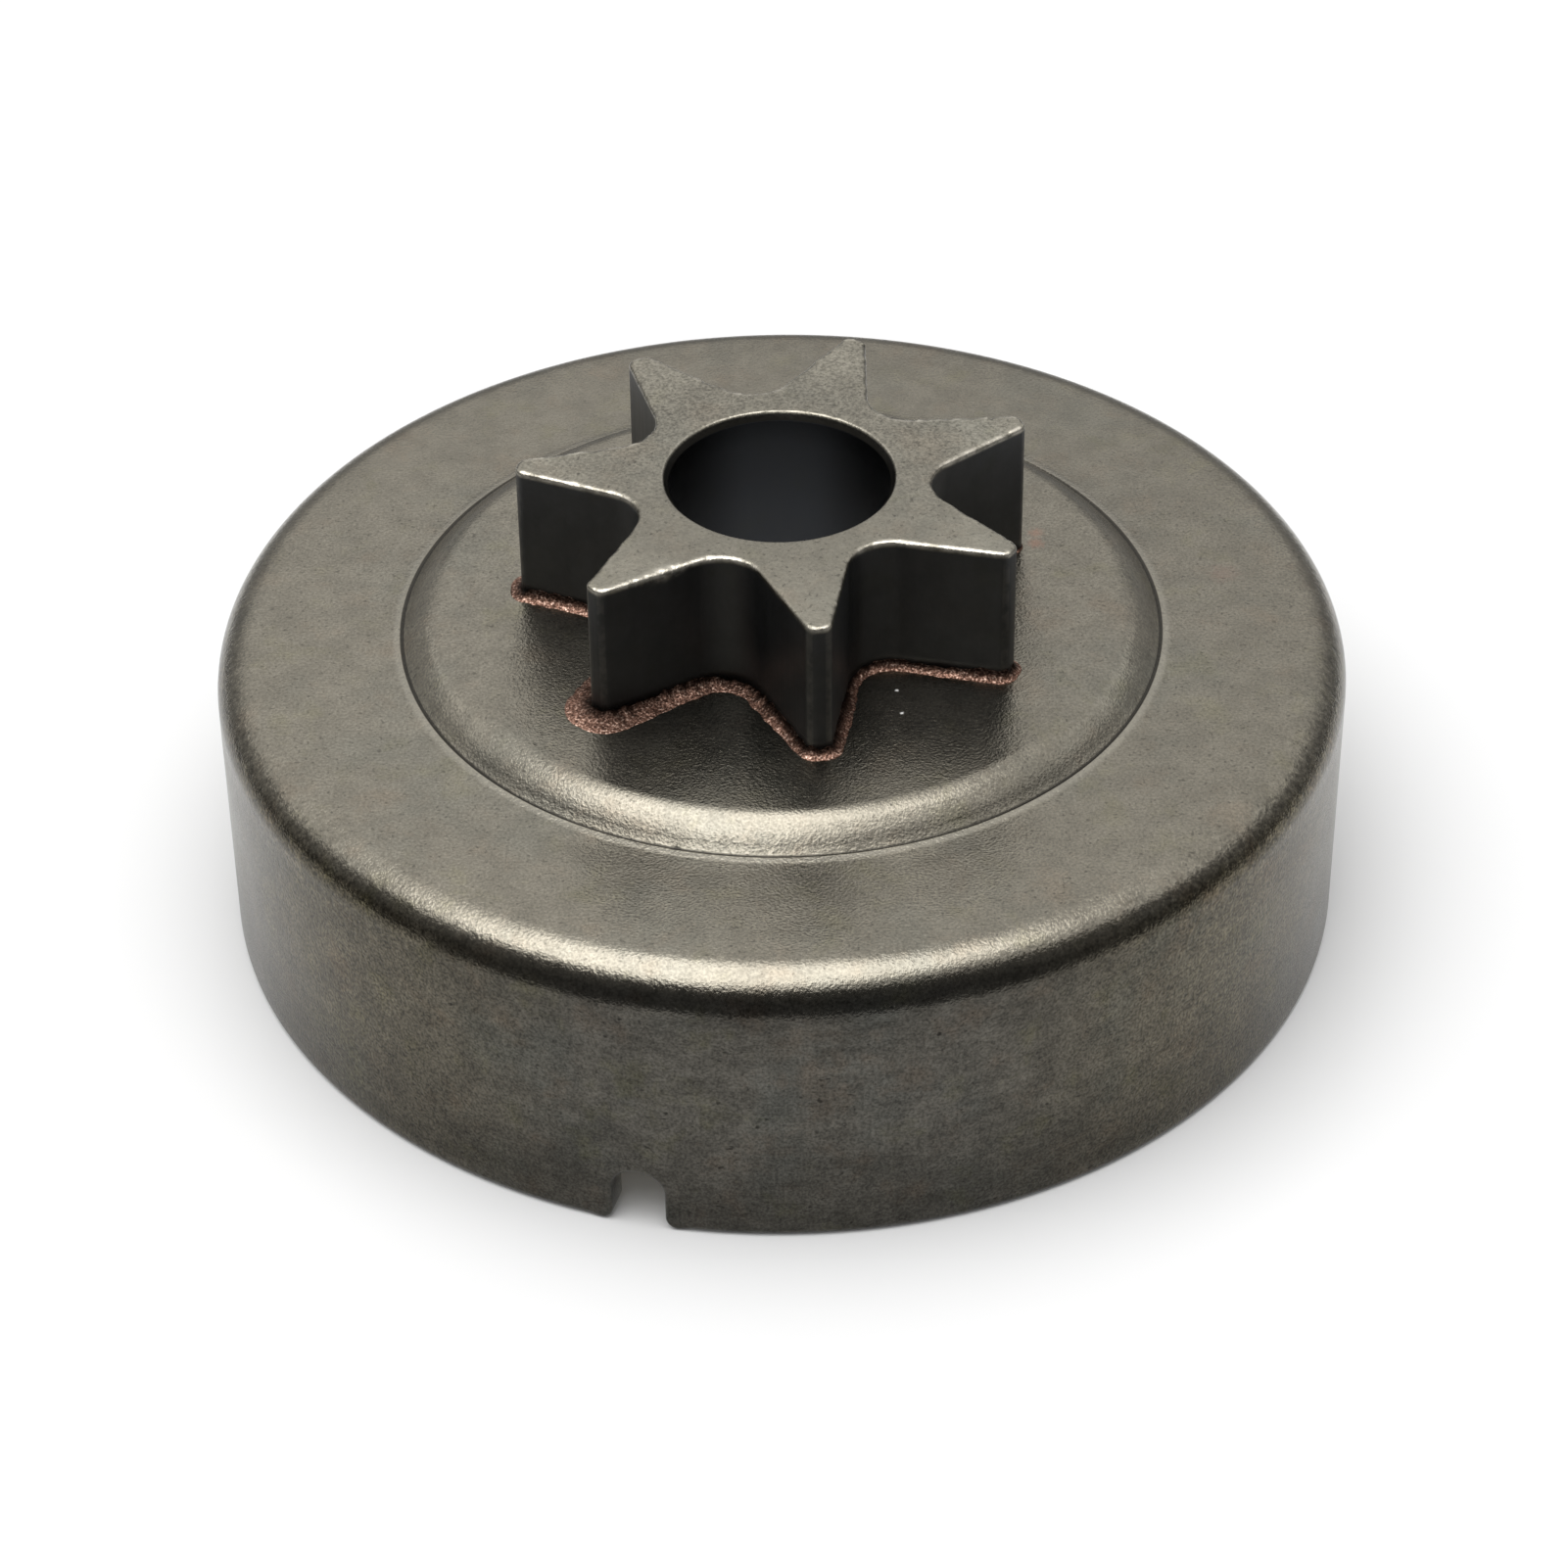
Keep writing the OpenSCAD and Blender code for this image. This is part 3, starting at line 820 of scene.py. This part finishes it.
def wall_tone(tree, finish, drum, where, axes, side):
    """Colour of the wall, darker than the flange as painted shade: warmer and, as painted light, lighter at
    its left and right, a little darker on the left as painted shade, with upright streaks, level layers and
    dark pits, and darker towards the rim and the shoulder as painted shade."""
    low = drum.flange - drum.shoulder
    streak, layer, pit = (noise(tree, where, *kind) for kind in (WALL_STREAK, WALL_LAYER, WALL_PIT))
    # Painted shade and painted light: the wall darker in front and lighter at its left and right
    tone = mixed(tree, side, rgba(finish.wall), rgba(finish.wall_side))
    # Painted shade: the first shade darkens the left, and the last two darken towards the rim and the
    # shoulder
    for shade in (spread(tree, axes[0], -drum.radius, 0, *LEFT_PAINTED_SHADE),
                  varied(tree, streak, *STREAK_SHADE),
                  varied(tree, layer, *LAYER_SHADE),
                  spread(tree, pit, *PIT_LEVELS, *PIT_SHADE),
                  spread(tree, axes[2], 0.5 * drum.flange, 0.05 * drum.flange, *RIM_PAINTED_SHADE),
                  spread(tree, axes[2], low - 4 * MM, low, *SHOULDER_PAINTED_SHADE)):
        tone = toned_by(tree, tone, shade)
    return tone


def flange_tone(tree, finish, drum, axes, radius, across):
    """Colour of the flange and the boss: paler on the left than on the right, and lighter where the boss
    slants down at its left and right; both are painted light."""
    edge = drum.boss_radius
    # Painted light: paler on the left of the flange than on its right
    tone = toned_by(tree, finish.drum, spread(tree, axes[0], -drum.radius, drum.radius, *FLANGE_PAINTED_LIGHT))
    # Painted highlight: lighter where the boss slants down at its left and right
    slant = product(tree, spread(tree, radius, edge - 2.3 * MM, edge - 1.6 * MM),
                    spread(tree, radius, edge, edge - 0.2 * MM))
    side_painted_shading = spread(tree, across, 0.65 * edge, 0.95 * edge, 0.0, SLANT_PAINTED_HIGHLIGHT)
    return toned_by(tree, tone, raised(tree, slant, side_painted_shading))


def lining_tone(tree, finish, drum, where, radius, ceiling):
    """Colour of the inside: the given one on its ceiling, and level rubbing marks on its wall."""
    inner_r = drum.radius - drum.sheet
    friction = toned_by(tree, finish.friction, varied(tree, noise(tree, where, *LINING_RUB), *RUB_SHADE))
    return mixed(tree, spread(tree, radius, inner_r - 1.2 * MM, inner_r - 0.3 * MM), ceiling, friction)


def creased(tree, finish, drum, axes, radius, tone):
    """A colour with a painted highlight line on the lip and a dark line of painted shade in the crease."""
    above = spread(tree, axes[2], drum.flange - 0.3 * MM, drum.flange - 0.1 * MM)
    # Painted highlight on the lip and painted shade in the crease
    for outside, faint, full, strength, line in CREASE_LINES:
        away = calc(tree, "ABSOLUTE", calc(tree, "SUBTRACT", radius, drum.boss_radius + outside))
        share = product(tree, spread(tree, away, faint, full), above, strength)
        tone = mixed(tree, share, tone, rgba(getattr(finish, line)))
    return tone


def stained(tree, finish, drum, where, tone):
    """A colour with the stains laid over it one after the other."""
    for place, level_name, size, strength, tint in STAINS:
        stain = mark(tree, where, (*place, getattr(drum, level_name)), size)
        tone = mixed(tree, product(tree, stain, strength), tone, rgba(getattr(finish, tint)))
    return tone


def drum_material(finish, drum):
    """Pressed steel: a pale flange, a wall darkened by painted shade and a rubbed inside, under furnace scale
    that is smoother at the back; coarser peel with pits on the drawn shoulder; a painted highlight and a
    line of painted shade at the crease; stains and dust."""
    material, tree, shader = new_metal("Pressed steel")
    where, axes, radius = places(tree)
    low = drum.flange - drum.shoulder
    across = calc(tree, "ABSOLUTE", axes[0])
    # Painted shade: from 0.6 to 1.8 mm below the flange, on the shoulder, the wall's darker colour takes over
    on_wall = spread(tree, axes[2], drum.flange - 0.6 * MM, drum.flange - 1.8 * MM)
    side = spread(tree, across, 0.25 * drum.radius, 0.85 * drum.radius)
    flange = flange_tone(tree, finish, drum, axes, radius, across)
    base = mixed(tree, on_wall, flange, wall_tone(tree, finish, drum, where, axes, side))
    within = put(tree, "Attribute", attribute_name="within").outputs["Fac"]
    base = mixed(tree, within, base, lining_tone(tree, finish, drum, where, radius, flange))

    near = spread(tree, axes[1], 0.65 * drum.radius, 0.25 * drum.radius, BACK_SHARE, 1.0)
    coarse = product(tree, on_wall, between(tree, side, *WALL_GRIT))
    scale = scaled(tree, base,
                   patches=between(tree, on_wall, *DRUM_PATCHES),
                   mottle=between(tree, on_wall, *DRUM_MOTTLE),
                   grit=product(tree, calc(tree, "ADD", coarse, FLANGE_GRIT), near),
                   specks=product(tree, near, DRUM_SPECKS))
    drawn = product(tree, spread(tree, axes[2], drum.flange - 0.05 * MM, drum.flange - 0.8 * MM),
                    spread(tree, axes[2], low - 3 * MM, low))
    pitted = raised(tree, product(tree, drawn, side, scale["Peel"]), PEEL_GAIN)
    tone = creased(tree, finish, drum, axes, radius, toned_by(tree, scale["Colour"], pitted))
    tone = stained(tree, finish, drum, where, tone)
    dust = calc(tree, "MAXIMUM", *(mark(tree, where, (*place, drum.boss_top), size)
                                   for place, size in DUST_SPECKS))
    tree.links.new(mixed(tree, dust, tone, rgba(finish.dust)), shader.inputs["Base Color"])
    tree.links.new(calc(tree, "SUBTRACT", 1.0, dust), shader.inputs["Metallic"])
    rough = varied(tree, scale["Cloud"], *DRUM_ROUGHNESS)
    rough = calc(tree, "ADD", rough, product(tree, drawn, DRAWN_GLOSS))
    tree.links.new(rough, shader.inputs["Roughness"])
    peel = product(tree, scale["Peel"], between(tree, drawn, *PEEL_HEIGHT))
    fine = product(tree, scale["Fine"], between(tree, drawn, *GRIT_HEIGHT))
    bumped(tree, shader, calc(tree, "ADD", peel, fine), STEEL_BUMP)
    return material


# Star: shades of its end from hub to tips and of its bore from the middle to the sides, the latter painted
# shade, and furnace scale
END_SHADE, BORE_PAINTED_SHADE = (1.04, 1.24), (1.0, 0.15)
STAR_PATCHES, STAR_MOTTLE, STAR_GRIT, STAR_SPECKS = 0.3, 0.08, (0.14, 0.38), 0.9
WEAR_LEVELS, SCUFF_LEVELS, SCUFF_SHARE, WORN_SHARE = (0.3, 0.75), (0.36, 0.60), (0.15, 1.0), 0.8
# Roughness of its end, what the flanks and the bore add, and how far the upright marks change it
END_ROUGHNESS, FLANK_DULL, STREAK_ROUGHNESS = 0.3, 0.14, 0.2
FINE_HEIGHT, STREAK_HEIGHT = 1.2, 0.5


def star_material(finish, star):
    """Hardened steel: ends that are paler on the tips and grittier at the back, dull dark flanks with upright
    marks, a lead-in darkened by painted shade, a smooth bore made dark by painted shade and darker still at
    its sides, and bright worn edges with scuffs, with painted highlight added on edges that face the front
    and the back."""
    material, tree, shader = new_metal("Star steel")
    where, axes, radius = places(tree)
    tip, bore = star.tip_radius, star.bore_radius
    mouth = bore + star.bore_chamfer
    below = spread(tree, axes[2], star.top - 0.1 * MM, star.top - 0.5 * MM)
    in_bore = spread(tree, radius, bore + 0.05 * MM, bore + 0.01 * MM)
    outside = calc(tree, "SUBTRACT", 1.0, in_bore)
    on_end = calc(tree, "SUBTRACT", 1.0, below)
    end = toned_by(tree, finish.star, spread(tree, radius, 0.62 * tip, 0.85 * tip, *END_SHADE))
    base = mixed(tree, below, end, rgba(finish.flank))
    # Painted shade: the lead-in of the bore is darkened with the dirt colour
    base = mixed(tree, spread(tree, radius, mouth - 0.04 * MM, mouth - 0.14 * MM), base, rgba(finish.dirt_and_shade))
    # Painted shade: the bore darker at its sides
    side_painted_shading = spread(tree, calc(tree, "ABSOLUTE", axes[0]), 0.25 * bore, 0.95 * bore, *BORE_PAINTED_SHADE)
    base = mixed(tree, in_bore, base, toned_by(tree, finish.bore, side_painted_shading))
    coarse = spread(tree, axes[1], -0.5 * tip, 0.4 * tip, *STAR_GRIT)
    scale = scaled(tree, base, patches=STAR_PATCHES, mottle=product(tree, outside, STAR_MOTTLE),
                   grit=product(tree, on_end, coarse), specks=product(tree, on_end, STAR_SPECKS))
    wear_and_highlight = put(tree, "Attribute", attribute_name="wear_and_highlight").outputs["Fac"]
    scuff = spread(tree, noise(tree, where, *STAR_SCUFF), *SCUFF_LEVELS, *SCUFF_SHARE)
    # The wear mask also carries painted highlight on edges that face the front and the back
    worn = product(tree, spread(tree, wear_and_highlight, *WEAR_LEVELS), scuff, WORN_SHARE)
    tree.links.new(mixed(tree, worn, scale["Colour"], rgba(finish.worn)), shader.inputs["Base Color"])
    streak = calc(tree, "SUBTRACT", noise(tree, where, *FLANK_STREAK), 0.5)
    rough = product(tree, streak, outside, STREAK_ROUGHNESS)
    dull = calc(tree, "ADD", product(tree, below, FLANK_DULL), END_ROUGHNESS)
    tree.links.new(calc(tree, "ADD", rough, dull), shader.inputs["Roughness"])
    ground = calc(tree, "ADD", scale["Peel"], product(tree, scale["Fine"], FINE_HEIGHT))
    drawn = product(tree, streak, STREAK_HEIGHT)
    height = put(tree, "Mix", {0: below, 2: ground, 3: drawn}).outputs[0]
    bumped(tree, shader, product(tree, height, outside), STEEL_BUMP)
    return material


# Copper: levels of the grain where it is dark and where it is bright, shades, and roughness; the shore
# shade is painted shade in the corner against the flanks
DARK_LEVELS, DARK_SHADE, BRIGHT_LEVELS = (0.35, 0.58), (0.2, 0.75), (0.54, 0.72)
CLOUD_SHADE, SHORE_LEVELS, SHORE_PAINTED_SHADE = (0.6, 1.2), (0.05, 0.8), (0.08, 1.0)
COPPER_ROUGHNESS = (0.6, 0.4)


def copper_material(finish):
    """Sintered copper: bright grains among dark ones in clouds, and painted shade in the corner against the
    flanks.
    """
    material, tree, shader = new_metal("Copper braze")
    where = places(tree)[0]
    shore = put(tree, "Attribute", attribute_name="shore").outputs["Fac"]
    grain, cloud = (noise(tree, where, *kind) for kind in (COPPER_GRAIN, COPPER_CLOUD))
    dark = toned_by(tree, finish.copper, spread(tree, grain, *DARK_LEVELS, *DARK_SHADE))
    tone = mixed(tree, spread(tree, grain, *BRIGHT_LEVELS), dark, rgba(finish.copper_grain))
    # Painted shade: darker in the corner against the flanks
    shade = product(tree, varied(tree, cloud, *CLOUD_SHADE), spread(tree, shore, *SHORE_LEVELS, *SHORE_PAINTED_SHADE))
    tree.links.new(toned_by(tree, tone, shade), shader.inputs["Base Color"])
    tree.links.new(varied(tree, grain, *COPPER_ROUGHNESS), shader.inputs["Roughness"])
    bumped(tree, shader, grain, COPPER_BUMP)
    return material


# Stage

FLOOR_HALF = 4.0
SOFTBOX_PLACE, SOFTBOX_AIM, SOFTBOX_SIZE = (-0.12, -0.11, 0.90), (0, 0, 0.02), (0.9, 1.0)
SCREEN_POINTS = 97
SCREEN_DARK, SCREEN_PALE = 0.008, 0.35
MOUTH_STEP = 0.1  # how far the foot of the screen moves back, as a share of its radius

# Floor that lets light in: a disc, as a share of the drum's radius, and a ring, whose middle inside the wall
# and half width are in thicknesses of the sheet; it stops this many widths of the notch away from the notch
CLEAR_DISC, CLEAR_RING_MIDDLE, CLEAR_RING_HALF, NOTCH_MARGIN = 0.77, 0.7, 0.3, 1.3


def floor_material(finish, drum):
    """A pale matt floor with one side: from below it can be seen through. Under the middle and under the rim
    of the drum it lets light in, but the floor that shows in the notch stays solid."""
    material, tree = bare_material("Pale floor")
    where, _, radius = places(tree)
    notch = tuple(revolved(drum.radius, 0, drum.notch_bearing))
    apart = put(tree, "VectorMath", {0: where, 1: notch}, operation="DISTANCE").outputs["Value"]
    apart = calc(tree, "GREATER_THAN", apart, NOTCH_MARGIN * drum.notch_width)
    middle, half = drum.radius - CLEAR_RING_MIDDLE * drum.sheet, CLEAR_RING_HALF * drum.sheet
    ring = put(tree, "Math", {0: radius, 1: middle, 2: half}, operation="COMPARE").outputs[0]
    disc = calc(tree, "LESS_THAN", radius, CLEAR_DISC * drum.radius)
    covered = calc(tree, "MAXIMUM", disc, product(tree, ring, apart))
    unseen = calc(tree, "SUBTRACT", 1.0, put(tree, "LightPath").outputs["Is Camera Ray"])
    back = put(tree, "NewGeometry").outputs["Backfacing"]
    through = calc(tree, "MAXIMUM", back, product(tree, covered, unseen))
    matt = put(tree, "BsdfDiffuse", {"Color": rgba(finish.floor)}).outputs[0]
    clear = put(tree, "BsdfTransparent").outputs[0]
    both = put(tree, "MixShader", {0: through, 1: matt, 2: clear}).outputs[0]
    put(tree, "OutputMaterial", {"Surface": both})
    return material


def stage_sheet(name, points, faces, material):
    """A flat piece of the stage."""
    mesh = bpy.data.meshes.new(name)
    mesh.from_pydata(points, [], faces)
    mesh.materials.append(material)
    sheet = bpy.data.objects.new(name, mesh)
    bpy.context.scene.collection.objects.link(sheet)
    return sheet


def make_world(stage):
    """White surroundings: at full strength to the camera, to shine and through glass, weaker as light."""
    world = bpy.data.worlds.new("White surroundings")
    world.use_nodes = True
    tree = world.node_tree
    tree.nodes.clear()
    ray = put(tree, "LightPath").outputs
    seen = calc(tree, "MAXIMUM", ray["Is Camera Ray"],
                calc(tree, "MAXIMUM", ray["Is Glossy Ray"], ray["Is Transmission Ray"]))
    strength = put(tree, "MapRange", {0: seen, 3: stage.world, 4: 1.0}).outputs[0]
    back = put(tree, "Background", {"Color": (1, 1, 1, 1), "Strength": strength})
    put(tree, "OutputWorld", {"Surface": back.outputs[0]})
    bpy.context.scene.world = world


def screen_material(stage):
    """A dark screen that is darkest in front."""
    material, tree = bare_material("Dark screen")
    along = places(tree)[1][1]
    front, back = -0.6 * stage.screen_radius, 0.2 * stage.screen_radius
    shade = spread(tree, along, front, back, SCREEN_DARK, SCREEN_PALE)
    put(tree, "OutputMaterial", {"Surface": put(tree, "Emission", {"Strength": shade}).outputs[0]})
    return material


def make_screen(stage):
    """A funnel about the axis, tall in front and low behind, that only shine can see. Its height falls by
    a smooth step from the front towards the back, and its foot moves away from the drum in the same way."""
    bearing = np.linspace(0, 2 * np.pi, SCREEN_POINTS)
    forward = -np.sin(bearing)
    height = stage.screen_back + (stage.screen_front - stage.screen_back) * smooth_step(forward, -0.6, 0.8)
    mouth = stage.screen_mouth + MOUTH_STEP * stage.screen_radius * (1 - smooth_step(forward, 0, 0.9))
    points = revolved(np.stack([mouth, np.full_like(mouth, stage.screen_radius)]),
                      np.stack([np.full_like(mouth, MM), height]), bearing).reshape(-1, 3)
    index = np.arange(SCREEN_POINTS - 1)
    faces = np.stack([index, index + SCREEN_POINTS, index + SCREEN_POINTS + 1, index + 1], 1)
    screen = stage_sheet("screen", points, faces, screen_material(stage))
    screen.visible_camera = False
    screen.visible_diffuse = False
    screen.visible_transmission = False
    screen.visible_shadow = False


def make_softbox(name, place, aim, size, brightness):
    """A flat lamp with four sides that faces aim; its power is pi times its area times its brightness."""
    lamp = bpy.data.lights.new(name, "AREA")
    lamp.shape = "RECTANGLE"
    lamp.size, lamp.size_y = size
    lamp.energy = math.pi * size[0] * size[1] * brightness
    holder = bpy.data.objects.new(name, lamp)
    bpy.context.scene.collection.objects.link(holder)
    holder.location = place
    holder.rotation_mode = "QUATERNION"
    holder.rotation_quaternion = (Vector(aim) - Vector(place)).to_track_quat("-Z", "Y")
    return holder


def make_camera(stage):
    """Camera whose line of sight comes down at the elevation, along +Y, to a point just above the origin."""
    rise, roll = stage.elevation, stage.roll
    level_right = Vector((1, 0, 0))
    level_up = Vector((0, math.sin(rise), math.cos(rise)))
    right = math.cos(roll) * level_right - math.sin(roll) * level_up
    up = math.sin(roll) * level_right + math.cos(roll) * level_up
    ahead = Vector((0, math.cos(rise), -math.sin(rise)))
    data = bpy.data.cameras.new("Camera")
    data.sensor_width = 36
    data.lens = stage.lens
    data.clip_start = 0.01
    camera = bpy.data.objects.new("Camera", data)
    bpy.context.scene.collection.objects.link(camera)
    place = stage.aim_rise * up - stage.distance * ahead
    camera.matrix_world = Matrix((
        (right.x, up.x, -ahead.x, place.x),
        (right.y, up.y, -ahead.y, place.y),
        (right.z, up.z, -ahead.z, place.z),
        (0, 0, 0, 1),
    ))
    bpy.context.scene.camera = camera


class SPROCKET_OT_drum(bpy.types.Operator):
    """Make the pressed clutch drum"""

    bl_idname = "sprocket.drum"
    bl_label = "Clutch drum"

    def execute(self, context):
        values = settings(context)
        grid, within = drum_surface(values.drum)
        material = drum_material(values.finish, values.drum)
        make_piece("drum_shell", [grid], {"within": within}, material, "clutch_drum")
        return {"FINISHED"}


class SPROCKET_OT_star(bpy.types.Operator):
    """Make the star and its hub"""

    bl_idname = "sprocket.star"
    bl_label = "Star sprocket"

    def execute(self, context):
        values = settings(context)
        grid, wear_and_highlight = star_surface(values.star, values.drum.boss_top)
        material = star_material(values.finish, values.star)
        make_piece("star_hub", [grid], {"wear_and_highlight": wear_and_highlight}, material, "spur_sprocket")
        return {"FINISHED"}


class SPROCKET_OT_braze(bpy.types.Operator):
    """Make the copper bead outside the drum and the fillet inside it"""

    bl_idname = "sprocket.braze"
    bl_label = "Braze"

    def execute(self, context):
        values = settings(context)
        bead, shore = bead_surface(values.braze, values.star, values.drum.boss_top)
        ring = ring_surface(values.braze, values.star, values.drum.boss_top - values.drum.sheet)
        shore = np.concatenate([shore.ravel(), np.full(ring[..., 0].size, 0.8)])
        make_piece("braze_copper", [bead, ring], {"shore": shore}, copper_material(values.finish),
                   "braze_fillet")
        return {"FINISHED"}


class SPROCKET_OT_stage(bpy.types.Operator):
    """Make the floor, the light and the camera"""

    bl_idname = "sprocket.stage"
    bl_label = "Stage"

    def execute(self, context):
        values = settings(context)
        corners = [(x * FLOOR_HALF, y * FLOOR_HALF, 0) for x, y in ((-1, -1), (1, -1), (1, 1), (-1, 1))]
        stage_sheet("floor", corners, [(0, 1, 2, 3)], floor_material(values.finish, values.drum))
        make_world(values.stage)
        make_softbox("overhead", SOFTBOX_PLACE, SOFTBOX_AIM, SOFTBOX_SIZE, values.stage.softbox)
        make_screen(values.stage)
        make_camera(values.stage)
        context.scene.view_settings.view_transform = "Standard"
        return {"FINISHED"}


class SPROCKET_PT_panel(bpy.types.Panel):
    """Pieces of the sprocket and their values"""

    bl_idname = "SPROCKET_PT_panel"
    bl_label = "Spur sprocket"
    bl_space_type = "VIEW_3D"
    bl_region_type = "UI"
    bl_category = "Sprocket"

    def draw(self, context):
        values = settings(context)
        for operator in OPERATORS:
            self.layout.operator(operator.bl_idname)
        for name in ("drum", "star", "braze", "finish", "stage"):
            box = self.layout.box()
            box.label(text=name.capitalize())
            group = getattr(values, name)
            for key in group.__annotations__:
                box.prop(group, key)


GROUPS = (DrumSizes, StarSizes, BrazeSizes, Finishes, StageSettings, SprocketSettings)
OPERATORS = (SPROCKET_OT_drum, SPROCKET_OT_star, SPROCKET_OT_braze, SPROCKET_OT_stage)


def register():
    """Adds the classes and the scene's values."""
    for item in GROUPS + OPERATORS + (SPROCKET_PT_panel,):
        bpy.utils.register_class(item)
    bpy.types.Scene.sprocket = PointerProperty(type=SprocketSettings)


def unregister():
    """Takes away the scene's values and the classes."""
    del bpy.types.Scene.sprocket
    for item in reversed(GROUPS + OPERATORS + (SPROCKET_PT_panel,)):
        bpy.utils.unregister_class(item)


def main():
    """Registers the classes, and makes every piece."""
    register()
    bpy.ops.sprocket.drum()
    bpy.ops.sprocket.star()
    bpy.ops.sprocket.braze()
    bpy.ops.sprocket.stage()


if __name__ == "__main__":
    main()
